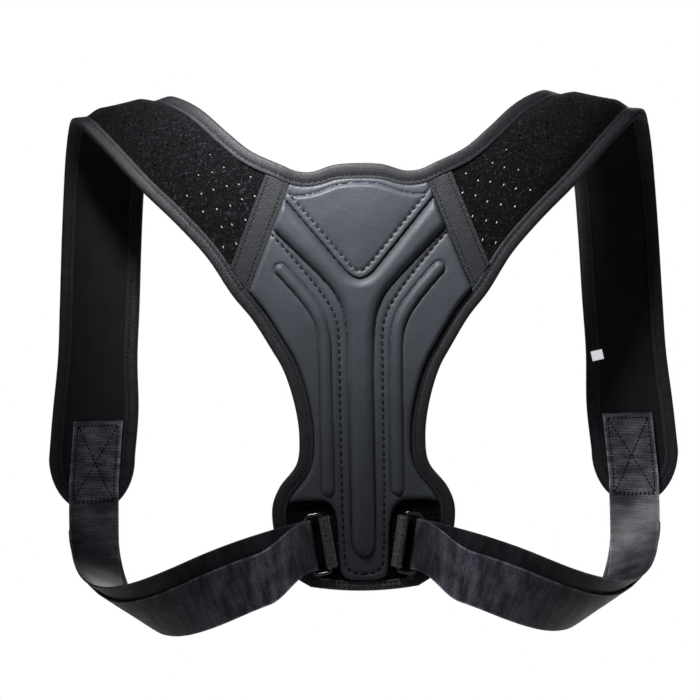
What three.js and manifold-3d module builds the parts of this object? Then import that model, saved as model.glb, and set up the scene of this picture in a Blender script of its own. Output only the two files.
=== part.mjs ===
// A worn posture corrector: an hourglass back panel with a ribbed pad, two shoulder straps that
// arch forward over the shoulders, and webbing that runs from each strap end round under the arm
// to a wire ring on the panel.
// Millimetres. x to the wearer's right, y from the back panel toward the chest, z up.

import * as THREE from 'three';
import { mergeVertices } from 'three/addons/utils/BufferGeometryUtils.js';
import Module from 'manifold-3d';

const wasm = await Module();
wasm.setup();

// Back panel
const panelHeight = 299;
const hemWidth = 76;
const lobeWidth = 127;
const waistWidth = 88;
const panelTopWidth = 178;
const neckWidth = 106;
const neckDip = 5.6;
const hemSag = 3.2;
const fabricThickness = 3.2;

// Straps as worn
const shoulderSpan = 416;
const crestHeight = 353.6;
const wornDepth = 108;
const frontSpan = 412;
const frontDrop = 305.4;
const frontStrapWidth = 60.3;
const strapEndWidth = 65;
const strapEndRound = 41;
const liningThickness = 1.0;

// Edge binding and seam tape
const bindingWidth = 10;
const hemBindingWidth = 7;
const hemBindingLength = 53;
const tapeThickness = 1.0;
const seamTapeWidth = 17.6;

// Pad
const padThickness = 5;
const ribHeight = 3.4;
const ribRound = 1.4;
const stemWidth = 17;
const armWidth = 18.5;
const sideRibWidth = 7.5;
const tongueWidth = 37;

// Webbing, rings and their tabs
const webbingWidth = 37.5;
const webbingThickness = 1.6;
const layerGap = 0.8;
const patchLength = 48;
const webTopInset = 1.7;
const webTopRise = 21.4;
const tailDrop = 13;
const tailStop = 35;
const tailReturn = 95;
const wireDiameter = 2.6;
const ringWidth = 14;
const ringCorner = 4;
const ringTilt = THREE.MathUtils.degToRad(9);
const ringPlay = 0.7;
const ringPinch = 0.05;
const ringFoldX = 38;
const ringFoldHeight = 33;
const tabThickness = 1.1;
const tabTail = 3;

// Label
const labelWidth = 8.7;
const labelHeight = 7.4;
const labelThickness = 0.5;
const labelTilt = THREE.MathUtils.degToRad(12);
const labelDrop = 192;
const labelInset = 8;

// Clearances and mesh steps
const gap = 0.3;
const bindingPlay = 0.6;
const edgeInset = tapeThickness + bindingPlay;
const bindingHalf = fabricThickness / 2 + bindingPlay + tapeThickness;
const webbingSteps = 84;
const webbingStrips = 4;
const wireSides = 8;
const wireSteps = 36;
const stationStep = 0.5;
const roundStep = 0.2;

// Edge outlines. A panel row is the size it follows, its share of half that size, and its share
// of the panel height. A shoulder row is shares of half the shoulder span, the depth and the
// crest height.
const armpitPanelRows = [
  [hemWidth, 1.0, 0.011],
  [lobeWidth, 0.747, 0.032],
  [lobeWidth, 0.9, 0.079],
  [lobeWidth, 0.989, 0.142],
  [lobeWidth, 1.0, 0.2],
  [lobeWidth, 0.923, 0.2425],
  [waistWidth, 1.048, 0.2987],
  [waistWidth, 1.0, 0.3595],
  [waistWidth, 1.063, 0.4344],
  [waistWidth, 1.238, 0.5187],
  [panelTopWidth, 0.708, 0.57],
  [panelTopWidth, 0.849, 0.638],
  [panelTopWidth, 1.0, 0.694],
];
const armpitShoulderRows = [
  [0.513, 0.037, 0.6632],
  [0.617, 0.093, 0.7314],
  [0.735, 0.185, 0.7992],
  [0.808, 0.259, 0.8452],
  [0.911, 0.389, 0.9103],
  [0.977, 0.481, 0.9481],
  [1.011, 0.593, 0.9588],
  [1.038, 0.759, 0.9422],
  [1.06, 0.889, 0.8943],
];
// A neck row is a share of half the neck width and a share of the dip beside the middle hump.
const neckPanelRows = [
  [-0.32, 0.18],
  [0, 0],
  [0.32, 0.18],
  [0.62, 1.0],
  [0.816, 0.875],
  [1.0, 0.125],
];
const neckShoulderRows = [
  [0.362, 0.065, 0.875],
  [0.443, 0.148, 0.9156],
  [0.527, 0.278, 0.9624],
  [0.584, 0.38, 0.9857],
  [0.642, 0.5, 1.0],
  [0.673, 0.611, 0.9986],
  [0.717, 0.778, 0.9764],
  [0.749, 0.889, 0.9366],
  [0.771, 0.954, 0.8859],
];
// A front row is a share of the drop, a share of half the front span for the middle of the strap,
// the width it follows, and shares of the depth at its neck and arm edges.
const frontRows = [
  [0.203, 0.939, frontStrapWidth, 0.991, 0.963],
  [0.325, 0.951, frontStrapWidth, 1.0, 0.985],
  [0.484, 0.962, frontStrapWidth, 1.0, 0.99],
  [0.6186, 0.973, frontStrapWidth, 1.0, 1.0],
  [0.753, 0.984, strapEndWidth, 1.0, 1.0],
];
const strapEndX = frontSpan / 2;
const strapEndZ = crestHeight - frontDrop;
const roundStartZ = strapEndZ + strapEndRound;

function panelPoint([size, share, height]) {
  return new THREE.Vector3((size / 2) * share, 0, panelHeight * height);
}

function neckPoint([share, dip]) {
  return new THREE.Vector3((neckWidth / 2) * share, 0, panelHeight - neckDip * dip);
}

function shoulderPoint([x, y, z]) {
  return new THREE.Vector3((shoulderSpan / 2) * x, wornDepth * y, crestHeight * z);
}

// side is -1 for the edge toward the neck and 1 for the edge toward the arm
function frontPoint([drop, middle, width, neckDepth, armDepth], side) {
  const depth = side < 0 ? neckDepth : armDepth;
  const x = strapEndX * middle + (side * width) / 2;
  return new THREE.Vector3(x, wornDepth * depth, crestHeight - frontDrop * drop);
}

function roundStart(side) {
  return new THREE.Vector3(strapEndX + (side * strapEndWidth) / 2, wornDepth, roundStartZ);
}

const armpitPoints = [
  ...armpitPanelRows.map(panelPoint),
  ...armpitShoulderRows.map(shoulderPoint),
  ...frontRows.map((row) => frontPoint(row, 1)),
  roundStart(1),
];
const neckPoints = [
  ...neckPanelRows.map(neckPoint),
  ...neckShoulderRows.map(shoulderPoint),
  ...frontRows.map((row) => frontPoint(row, -1)),
  roundStart(-1),
];
const armpitCurve = new THREE.CatmullRomCurve3(armpitPoints);
const neckCurve = new THREE.CatmullRomCurve3(neckPoints);
const armpitSeam = armpitPanelRows.length - 1;
const neckSeam = neckPanelRows.length - 1;
const straightSteps = armpitPoints.length - 1 - armpitSeam;

// Both edges share one station number: 0 at the seam, rising over the shoulder to the strap end,
// below 0 on the panel. The last step, past straightSteps, is the quarter ellipse of the round end.
function edgePoint(side, station, inset = 0) {
  if (station <= straightSteps) {
    const curve = side < 0 ? neckCurve : armpitCurve;
    const seam = side < 0 ? neckSeam : armpitSeam;
    return curve.getPoint((station + seam) / (curve.points.length - 1));
  }
  const angle = ((station - straightSteps) * Math.PI) / 2;
  const x = strapEndX + side * (strapEndWidth / 2 - inset) * Math.cos(angle);
  const z = roundStartZ - (strapEndRound - inset) * Math.sin(angle);
  return new THREE.Vector3(x, wornDepth, z);
}

function edgeTangent(side, station) {
  const step = 0.01;
  const first = side < 0 ? -neckSeam : -armpitSeam;
  const ahead = Math.min(station + step, straightSteps + 1);
  const behind = Math.max(station - step, first);
  return edgePoint(side, ahead).sub(edgePoint(side, behind)).normalize();
}

// The outer face of the fabric: toward the back on the panel, away from the body on the strap
function outward(side, station) {
  if (station <= 0) return new THREE.Vector3(0, -1, 0);
  if (station >= straightSteps) return new THREE.Vector3(0, 1, 0);
  const across = edgePoint(1, station).sub(edgePoint(-1, station));
  return across.cross(edgeTangent(side, station)).normalize();
}

// The strap binding's path, from the middle of the neck round the strap end to the arm seam.
// Each entry is a place on the edge, the way along it and the outward direction there.
function strapRimFrames() {
  const frames = [];
  const firstStation = 1 - neckSeam;
  for (let s = firstStation; s < straightSteps + 0.99; s += rimStep(s)) {
    frames.push({ at: edgePoint(-1, s), along: edgeTangent(-1, s), out: outward(-1, s) });
  }
  const low = edgePoint(1, straightSteps + 1);
  frames.push({ at: low, along: new THREE.Vector3(1, 0, 0), out: new THREE.Vector3(0, 1, 0) });
  frames.push(...armEdgeFrames(0, straightSteps + 0.99));
  frames[0].at.x = gap / 2;
  frames[0].along.set(1, 0, 0);
  return frames;
}

// Frames down the arm edge, from the higher of two stations to the lower
function armEdgeFrames(from, to) {
  const up = [];
  for (let s = from; s < to; s += rimStep(s)) {
    up.push({ at: edgePoint(1, s), along: edgeTangent(1, s).negate(), out: outward(1, s) });
  }
  return up.reverse();
}

// The side binding's path, from just below the arm seam to the hem
function sideRimFrames() {
  const frames = armEdgeFrames(-armpitSeam, 0.01);
  frames[0].at.addScaledVector(frames[0].along, gap);
  return frames;
}

function rimStep(station) {
  return station < straightSteps - 0.01 ? stationStep : roundStep;
}

// Closed meshes from mapped three.js geometry
function welded(geometry) {
  geometry.deleteAttribute('normal');
  geometry.deleteAttribute('uv');
  const solid = mergeVertices(geometry, 1e-4);
  return signedVolume(solid) < 0 ? flipped(solid) : solid;
}

function signedVolume(geometry) {
  const place = geometry.attributes.position;
  const index = geometry.index;
  const [a, b, c] = [new THREE.Vector3(), new THREE.Vector3(), new THREE.Vector3()];
  let volume = 0;
  for (let i = 0; i < index.count; i += 3) {
    a.fromBufferAttribute(place, index.getX(i));
    b.fromBufferAttribute(place, index.getX(i + 1));
    c.fromBufferAttribute(place, index.getX(i + 2));
    volume += a.dot(b.cross(c)) / 6;
  }
  return volume;
}

function flipped(geometry) {
  const turned = geometry.clone();
  const index = turned.index;
  for (let i = 0; i < index.count; i += 3) {
    const second = index.getX(i + 1);
    index.setX(i + 1, index.getX(i + 2));
    index.setX(i + 2, second);
  }
  return turned;
}

function mapped(geometry, place) {
  const position = geometry.attributes.position;
  const at = new THREE.Vector3();
  for (let i = 0; i < position.count; i += 1) {
    at.fromBufferAttribute(position, i);
    const moved = place(at);
    position.setXYZ(i, moved.x, moved.y, moved.z);
  }
  return welded(geometry);
}

function mirrored(geometry) {
  const copy = geometry.clone();
  copy.scale(-1, 1, 1);
  return flipped(copy);
}

// A section drawn in (inward, outward) distances, carried along a list of frames
function carried(section, frames) {
  const steps = frames.length - 1;
  const prism = new THREE.ExtrudeGeometry(section, { depth: steps, steps, bevelEnabled: false });
  return mapped(prism, (p) => {
    const frame = frames[Math.round(p.z)];
    const inward = frame.along.clone().cross(frame.out).normalize();
    return frame.at.clone().addScaledVector(inward, p.x).addScaledVector(frame.out, p.y);
  });
}

// A flat plate standing in the panel's plane, its outline in (x, z), between two depths
function plate(outline, nearY, farY, round = 0) {
  const shape = new THREE.Shape(outline);
  const solid = new THREE.ExtrudeGeometry(shape, {
    depth: farY - nearY - round,
    bevelEnabled: round > 0,
    bevelThickness: round,
    bevelSize: round,
    bevelOffset: -round,
    bevelSegments: 2,
  });
  return mapped(solid, (p) => new THREE.Vector3(p.x, farY - p.z, p.y));
}

function manifoldOf(geometry) {
  const vertProperties = new Float32Array(geometry.attributes.position.array);
  const triVerts = new Uint32Array(geometry.index.array);
  return new wasm.Manifold(new wasm.Mesh({ numProp: 3, vertProperties, triVerts }));
}

function joined(geometries) {
  const [first, ...rest] = geometries.map(manifoldOf);
  const mesh = rest.reduce((sum, next) => sum.add(next), first).getMesh();
  const geometry = new THREE.BufferGeometry();
  geometry.setAttribute('position', new THREE.BufferAttribute(mesh.vertProperties, 3));
  geometry.setIndex(new THREE.BufferAttribute(mesh.triVerts, 1));
  return geometry;
}

// Outline helpers in the panel's plane
function flat(point) {
  return new THREE.Vector2(point.x, point.z);
}

function insetPoint(side, station, distance) {
  const along = flat(edgeTangent(side, station)).normalize();
  const inward = new THREE.Vector2(along.y, -along.x).multiplyScalar(-side);
  return flat(edgePoint(side, station)).addScaledVector(inward, distance);
}

function mirroredOutline(half) {
  const other = half.filter((p) => p.x > 1e-6).map((p) => new THREE.Vector2(-p.x, p.y));
  return [...half, ...other.reverse()];
}

// Keeps the part of an outline on the side of a line that its normal points away from
function clipped(outline, through, normal) {
  const kept = [];
  outline.forEach((p, i) => {
    const next = outline[(i + 1) % outline.length];
    const here = p.clone().sub(through).dot(normal);
    const there = next.clone().sub(through).dot(normal);
    if (here <= 0) kept.push(p);
    if (here < 0 !== there < 0) kept.push(p.clone().lerp(next, here / (here - there)));
  });
  return kept;
}

function clippedBothSides(outline, through, normal) {
  const right = clipped(outline, through, normal);
  const mirror = (v) => new THREE.Vector2(-v.x, v.y);
  return clipped(right, mirror(through), mirror(normal));
}

// The seam between the panel and a strap, with its direction and the way out over the strap
const seamTop = flat(edgePoint(-1, 0));
const seamLow = flat(edgePoint(1, 0));
const seamAlong = seamLow.clone().sub(seamTop).normalize();
const seamOut = new THREE.Vector2(-seamAlong.y, seamAlong.x);

function halfOutline(distance, hemDistance) {
  const half = [new THREE.Vector2(0, panelHeight - distance)];
  for (let s = 1.5 - neckSeam; s <= 0; s += 0.5) half.push(insetPoint(-1, s, distance));
  for (let s = 0; s > -armpitSeam; s -= 0.5) half.push(insetPoint(1, s, distance));
  half.push(new THREE.Vector2(hemWidth / 2, hemSag + hemDistance));
  half.push(new THREE.Vector2(0, hemDistance));
  return half;
}

function backPanel() {
  const whole = mirroredOutline(halfOutline(edgeInset, edgeInset));
  const shoulder = seamTop.clone().addScaledVector(seamOut, -gap);
  const outline = clippedBothSides(whole, shoulder, seamOut);
  return plate(outline, -fabricThickness / 2, fabricThickness / 2);
}

// Pad: the outline inside the binding, cut back for the seam tapes and the rings
const padBackY = -fabricThickness / 2 - gap;
const padFaceY = padBackY - padThickness;
const ringHeight = webbingWidth + 2 * ringPlay + 2 * wireDiameter;
const ringTopZ = ringFoldHeight + ringHeight / 2;

function padOutline() {
  const inside = bindingWidth + gap;
  const half = [new THREE.Vector2(0, panelHeight - inside)];
  for (let s = 1.5 - neckSeam; s <= 0; s += 0.5) half.push(insetPoint(-1, s, inside));
  for (let s = 0; s >= -armpitSeam; s -= 0.5) {
    const p = insetPoint(1, s, inside);
    if (p.y > ringTopZ + wireDiameter) half.push(p);
  }
  const notchX = ringFoldX + ringWidth / 2;
  const tongue = tongueWidth / 2;
  const hem = hemBindingWidth + gap;
  half.push(new THREE.Vector2(notchX, ringTopZ + 3.2 * wireDiameter));
  half.push(new THREE.Vector2(tongue * 1.5, ringTopZ + 3.6 * wireDiameter));
  half.push(new THREE.Vector2(tongue * 1.2, ringTopZ + wireDiameter));
  half.push(new THREE.Vector2(tongue, ringTopZ - 2 * wireDiameter));
  half.push(new THREE.Vector2(tongue * 0.93, hem + 2 * wireDiameter));
  half.push(new THREE.Vector2(tongue * 0.7, hem + gap + 0.5 * wireDiameter));
  half.push(new THREE.Vector2(0, hem + gap));
  const tapeEdge = seamTop.clone().addScaledVector(seamOut, -seamTapeWidth / 2 - gap);
  return clippedBothSides(mirroredOutline(half), tapeEdge, seamOut);
}

// A band of the given width along a line of points, with round ends
function strokeOutline(points, width) {
  const line = new THREE.SplineCurve(points);
  const steps = 4 * (points.length - 1);
  const left = [];
  const right = [];
  for (let i = 0; i <= steps; i += 1) {
    const at = line.getPoint(i / steps);
    const way = line.getTangent(i / steps);
    const aside = new THREE.Vector2(-way.y, way.x).multiplyScalar(width / 2);
    left.push(at.clone().add(aside));
    right.push(at.clone().sub(aside));
  }
  return [...left, ...capPoints(line, 1, width), ...right.reverse(), ...capPoints(line, 0, width)];
}

function capPoints(line, end, width) {
  const centre = line.getPoint(end);
  const way = line.getTangent(end).multiplyScalar(end ? 1 : -1);
  const from = Math.atan2(way.y, way.x) + Math.PI / 2;
  return [1, 2, 3, 4].map((k) => {
    const angle = from - (k * Math.PI) / 5;
    const reach = new THREE.Vector2(Math.cos(angle), Math.sin(angle));
    return centre.clone().addScaledVector(reach, width / 2);
  });
}

function ribPlate(points, width) {
  const outline = strokeOutline(points, width);
  return plate(outline, padFaceY - ribHeight, padFaceY + padThickness / 2, ribRound);
}

function backPad() {
  const body = plate(padOutline(), padFaceY, padBackY);
  const place = (x, height) => new THREE.Vector2(x, panelHeight * height);
  const stem = ribPlate([place(0, 0.11), place(0, 0.4), place(0, 0.69)], stemWidth);
  const armEnd = place((panelTopWidth / 2) * 0.585, 0.866);
  const armStart = place(0, 0.667);
  const ribs = [stem];
  for (const side of [-1, 1]) {
    const end = new THREE.Vector2(side * armEnd.x, armEnd.y);
    ribs.push(ribPlate([armStart, armStart.clone().lerp(end, 0.5), end], armWidth));
    ribs.push(ribPlate(sideRibLine(side), sideRibWidth));
  }
  return joined([body, ...ribs]);
}

function sideRibLine(side) {
  const stemEdge = stemWidth / 2;
  const padEdge = waistWidth / 2 - bindingWidth - gap;
  const straight = stemEdge + 0.63 * (padEdge - stemEdge);
  const upper = panelTopWidth / 2;
  const rows = [
    [straight, 0.245],
    [straight * 1.01, 0.4],
    [straight * 1.03, 0.544],
    [straight * 1.08, 0.61],
    [upper * 0.393, 0.668],
    [upper * 0.6, 0.745],
  ];
  return rows.map(([x, height]) => new THREE.Vector2(side * x, panelHeight * height));
}

// A layer of the strap between two offsets from its middle surface
function strapLayer(innerOffset, outerOffset) {
  const straight = straightSteps / stationStep;
  const steps = straight + 4;
  const box = new THREE.BoxGeometry(1, 1, 1, 2, 1, steps);
  return mapped(box, (p) => {
    const step = Math.round((p.z + 0.5) * steps);
    const s = Math.min(step, straight) * stationStep + Math.max(step - straight, 0) * roundStep;
    const neck = edgePoint(-1, s, edgeInset);
    const across = edgePoint(1, s, edgeInset).sub(neck);
    const margin = s > straightSteps ? 0 : edgeInset / across.length();
    const share = margin + (p.x + 0.5) * (1 - 2 * margin);
    const normal = outward(-1, s).lerp(outward(1, s), share).normalize();
    const offset = p.y < 0 ? innerOffset : outerOffset;
    return neck.addScaledVector(across, share).addScaledVector(normal, offset);
  });
}

// Binding section: a tape folded over the edge, open toward the fabric
function bindingSection(width) {
  const inner = bindingHalf - tapeThickness;
  return new THREE.Shape([
    new THREE.Vector2(0, -bindingHalf),
    new THREE.Vector2(width, -bindingHalf),
    new THREE.Vector2(width, -inner),
    new THREE.Vector2(tapeThickness, -inner),
    new THREE.Vector2(tapeThickness, inner),
    new THREE.Vector2(width, inner),
    new THREE.Vector2(width, bindingHalf),
    new THREE.Vector2(0, bindingHalf),
  ]);
}

function strapBinding() {
  return carried(bindingSection(bindingWidth), strapRimFrames());
}

function sideBinding() {
  return carried(bindingSection(bindingWidth), sideRimFrames());
}

function hemBinding() {
  const end = hemBindingLength / 2;
  const rise = (hemSag * end) / (hemWidth / 2);
  const out = new THREE.Vector3(0, -1, 0);
  const frames = [[end, rise], [0, 0], [-end, rise]].map(([x, z]) => {
    return { at: new THREE.Vector3(x, 0, z), along: new THREE.Vector3(-1, 0, 0), out };
  });
  return carried(bindingSection(hemBindingWidth), frames);
}

// A corner of the seam tape, beside the seam line and clear of the binding at that edge
function seamCorner([side, aside]) {
  const start = side < 0 ? seamTop : seamLow;
  const inward = insetPoint(side, 0, 1).sub(start);
  const inside = bindingWidth + 4 * gap;
  const way = seamAlong.clone().multiplyScalar(-side);
  const reach = (inside - aside * seamOut.dot(inward)) / way.dot(inward);
  return start.clone().addScaledVector(way, reach).addScaledVector(seamOut, aside);
}

function seamTape() {
  const half = seamTapeWidth / 2;
  const outline = [[-1, -half], [-1, half], [1, half], [1, -half]].map(seamCorner);
  return plate(outline, padBackY - tapeThickness, padBackY);
}

// Webbing: one straight ribbon laid on a surface that is flat behind the front strap, turns
// forward to back as a half cylinder whose axis slopes, and is flat again on the way to the ring.
const webNearY = -bindingHalf - gap - webbingThickness / 2;
const webFarY = wornDepth - bindingHalf - gap - webbingThickness / 2;
const turnRadius = (webFarY - webNearY) / 2;
const turnStart = new THREE.Vector2(strapEndX - webTopInset, strapEndZ + webTopRise);
const ringBend = 6.4;
const bendLength = 80;
const foldPoint = new THREE.Vector2(ringFoldX, ringFoldHeight);

function nearStart(slope) {
  const reach = Math.PI * turnRadius * Math.tan(slope);
  const axis = new THREE.Vector2(-Math.cos(slope), -Math.sin(slope));
  return turnStart.clone().addScaledVector(axis, reach);
}

// The slope of the turn's axis at which the ribbon runs straight at the ring
function turnSlope() {
  let [low, high] = [0.3, 0.75];
  const aim = foldPoint.clone().add(new THREE.Vector2(0, ringBend));
  for (let i = 0; i < 40; i += 1) {
    const slope = (low + high) / 2;
    const way = new THREE.Vector2(-Math.sin(2 * slope), Math.cos(2 * slope));
    const miss = aim.clone().sub(nearStart(slope)).cross(way);
    if (miss < 0) low = slope;
    else high = slope;
  }
  return (low + high) / 2;
}

const slope = turnSlope();
const turnLength = (Math.PI * turnRadius) / Math.cos(slope);
const nearLength = nearStart(slope).distanceTo(foldPoint);
const webEnd = turnLength + nearLength;

// along: length past the start of the turn; across: distance toward the strap's arm edge;
// lift: distance outside the first layer
function webPoint(along, across, lift) {
  const bent = Math.max(along - (webEnd - bendLength), 0) / bendLength;
  const leaned = across - ringBend * bent * bent + 0.09 * Math.min(along, 0);
  const h = along * Math.sin(slope) - leaned * Math.cos(slope);
  const w = along * Math.cos(slope) + leaned * Math.sin(slope);
  const turn = THREE.MathUtils.clamp(w / turnRadius, 0, Math.PI);
  const past = w < 0 ? w : Math.min(Math.PI * turnRadius - w, 0);
  const b = past + (turnRadius + lift) * Math.sin(turn);
  const x = turnStart.x - h * Math.cos(slope) + b * Math.sin(slope);
  const y = webNearY + turnRadius + (turnRadius + lift) * Math.cos(turn);
  const z = turnStart.y - h * Math.sin(slope) - b * Math.cos(slope);
  return new THREE.Vector3(x, y, z);
}

const wireClear = wireDiameter / 2 + 1.4 * gap + webbingThickness / 2;
const barAngle = 2 * slope + ringTilt;
const bendRate = (2 * ringBend) / bendLength;
const foldSkew = Math.cos(barAngle) / (Math.sin(barAngle) + bendRate * Math.cos(barAngle));

// The ribbon is gathered a little and skewed as it nears the ring, so that its fold lies along
// the ring's outer bar
function gatheredPoint(along, across, lift, drop = 0) {
  const near = THREE.MathUtils.smoothstep(along, webEnd - bendLength, webEnd);
  const narrow = across * (1 - ringPinch * near);
  return webPoint(along + foldSkew * narrow * near, narrow - drop, lift);
}

function webbing() {
  const turnSteps = 8;
  const runSteps = webbingSteps / 2;
  const steps = 2 * runSteps + turnSteps;
  const topEnd = -patchLength;
  const tailEnd = tailStop;
  const tailLift = webbingThickness + layerGap;
  const box = new THREE.BoxGeometry(1, 1, 1, webbingStrips, 1, steps);
  return mapped(box, (p) => {
    const step = Math.round((p.z + 0.5) * steps);
    const across = p.x * webbingWidth;
    const thick = p.y * webbingThickness;
    if (step <= runSteps) {
      const along = THREE.MathUtils.lerp(topEnd, webEnd, step / runSteps);
      return gatheredPoint(along, across, thick);
    }
    if (step < runSteps + turnSteps) {
      const angle = ((step - runSteps) / turnSteps) * Math.PI;
      const bar = gatheredPoint(webEnd, across, wireClear);
      const reach = wireClear - thick;
      const way = new THREE.Vector3(-Math.cos(ringTilt), 0, Math.sin(ringTilt));
      const back = new THREE.Vector3(0, 1, 0);
      bar.addScaledVector(back, reach * Math.cos(angle));
      return bar.addScaledVector(way, reach * Math.sin(angle));
    }
    const share = (step - runSteps - turnSteps) / runSteps;
    const along = THREE.MathUtils.lerp(webEnd, tailEnd, share);
    const away = THREE.MathUtils.smoothstep(webEnd - along, 0, 0.35 * bendLength);
    const leave = THREE.MathUtils.smoothstep(webEnd - along, 0, 0.5 * bendLength);
    const rejoin = THREE.MathUtils.smoothstep(along, tailStop, tailStop + tailReturn);
    const drop = leave * rejoin * tailDrop;
    const lift = THREE.MathUtils.lerp(2 * wireClear, tailLift, away) - thick;
    return gatheredPoint(along, across, lift, drop);
  });
}

// Ring: a rounded rectangle of wire whose outer bar lies in the webbing's fold
function ring() {
  const bar = webPoint(webEnd, 0, wireClear);
  const halfW = (ringWidth - wireDiameter) / 2;
  const halfH = (ringHeight - wireDiameter) / 2;
  const corner = ringCorner - wireDiameter / 2;
  const path = new THREE.Shape();
  path.moveTo(halfW, -halfH + corner);
  path.absarc(halfW - corner, halfH - corner, corner, 0, Math.PI / 2, false);
  path.absarc(-halfW + corner, halfH - corner, corner, Math.PI / 2, Math.PI, false);
  path.absarc(-halfW + corner, -halfH + corner, corner, Math.PI, 1.5 * Math.PI, false);
  path.absarc(halfW - corner, -halfH + corner, corner, 1.5 * Math.PI, 2 * Math.PI, false);
  path.closePath();
  const torus = new THREE.TorusGeometry(1, 0.5, wireSides, wireSteps);
  return mapped(torus, (p) => {
    const share = ((Math.atan2(p.y, p.x) / (2 * Math.PI)) + 1) % 1;
    const at = path.getPointAt(share);
    const way = path.getTangentAt(share);
    const reach = (Math.hypot(p.x, p.y) - 1) * wireDiameter;
    const x = at.x + way.y * reach - halfW;
    const z = at.y - way.x * reach;
    return tilted(x, z, bar, bar.y - p.z * wireDiameter);
  });
}

// A point given beside the outer bar, turned by the ring's tilt
function tilted(x, z, bar, y) {
  const px = bar.x + x * Math.cos(ringTilt) + z * Math.sin(ringTilt);
  const pz = bar.z - x * Math.sin(ringTilt) + z * Math.cos(ringTilt);
  return new THREE.Vector3(px, y, pz);
}

// Tab: a short webbing loop round the ring's inner bar, its tail lying on the panel
function ringTab() {
  const bar = webPoint(webEnd, 0, wireClear);
  const innerX = -(ringWidth - wireDiameter);
  const hole = wireDiameter / 2 + gap;
  const rim = hole + tabThickness;
  const floor = padBackY - bar.y;
  const profile = new THREE.Shape();
  profile.absarc(0, 0, rim, -Math.PI * 0.75, Math.PI * 0.5, false);
  profile.lineTo(-0.3 * rim, floor);
  profile.lineTo(-rim - tabTail, floor);
  profile.lineTo(-rim - tabTail, floor - 2 * tabThickness);
  const opening = new THREE.Path();
  opening.absarc(0, 0, hole, 0, 2 * Math.PI, true);
  profile.holes.push(opening);
  const length = ringHeight - 2 * ringCorner;
  const solid = new THREE.ExtrudeGeometry(profile, {
    depth: length,
    bevelEnabled: false,
    curveSegments: 6,
  });
  return mapped(solid, (p) => tilted(innerX + p.x, p.z - length / 2, bar, bar.y + p.y));
}

function label() {
  const solid = new THREE.BoxGeometry(labelWidth, labelThickness, labelHeight);
  solid.rotateY(-labelTilt);
  const station = straightSteps - 2;
  const edge = edgePoint(-1, station);
  const y = wornDepth - bindingHalf - gap - labelThickness / 2;
  solid.translate(edge.x + labelInset, y, crestHeight - labelDrop);
  return welded(solid);
}

// Materials
const cloth = (color, roughness) => new THREE.MeshStandardMaterial({ color, roughness });
const loopFabric = () => cloth(0x17181f, 0.95);
const padLeather = () => cloth(0x33373f, 0.5);
const liningCloth = () => cloth(0x0f1012, 0.9);
const bindingTape = () => cloth(0x3a3c43, 0.8);
const seamCloth = () => cloth(0x33363c, 0.75);
const webbingCloth = () => cloth(0x232428, 0.5);
const tabCloth = () => cloth(0x3c3f45, 0.7);
const labelCloth = () => cloth(0xf0f2f2, 0.8);
const ringMetal = () => {
  return new THREE.MeshStandardMaterial({ color: 0x08080a, roughness: 0.2, metalness: 0.6 });
};

const object = new THREE.Group();

function add(name, geometry, material) {
  const mesh = new THREE.Mesh(geometry, material);
  mesh.name = name;
  object.add(mesh);
}

function addPair(name, geometry, material) {
  add(`${name}_right`, geometry, material());
  add(`${name}_left`, mirrored(geometry), material());
}

const fabricInner = -fabricThickness / 2 + liningThickness + gap;
add('back_panel', backPanel(), loopFabric());
add('back_pad', backPad(), padLeather());
add('hem_binding', hemBinding(), bindingTape());
addPair('shoulder_strap', strapLayer(fabricInner, fabricThickness / 2), loopFabric);
addPair('strap_lining', strapLayer(-fabricThickness / 2, fabricInner - gap), liningCloth);
addPair('edge_binding', strapBinding(), bindingTape);
addPair('side_binding', sideBinding(), bindingTape);
addPair('seam_tape', seamTape(), seamCloth);
addPair('webbing', webbing(), webbingCloth);
addPair('ring', ring(), ringMetal);
addPair('ring_tab', ringTab(), tabCloth);
add('label', label(), labelCloth());

// The origin lies midway between the shoulders, under the top of the straps. The crest is at
// these stations of the neck and arm edges.
const neckCrest = 5;
const armCrest = 6.5;
const crest = edgePoint(-1, neckCrest).lerp(edgePoint(1, armCrest), 0.5);
object.position.set(0, -wornDepth / 2, -(crest.z - fabricThickness / 2));

export default object;
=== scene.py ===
# %% [markdown]
# # A posture corrector, seen from behind
#
# The real thing is a soft brace: a stiffened cloth panel on the spine, an embossed pad sewn on
# it, two padded straps that arch forward over the shoulders, and webbing that comes back under
# the arms to a wire ring. Nearly all of it is sheet, so nearly every piece here starts as a grid
# primitive that is laid on a curved surface and then given its thickness.
#
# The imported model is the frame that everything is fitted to, so it is loaded first.

# %% Load the frame
import math
import bpy
import numpy as np
from mathutils import Matrix, Vector


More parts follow.
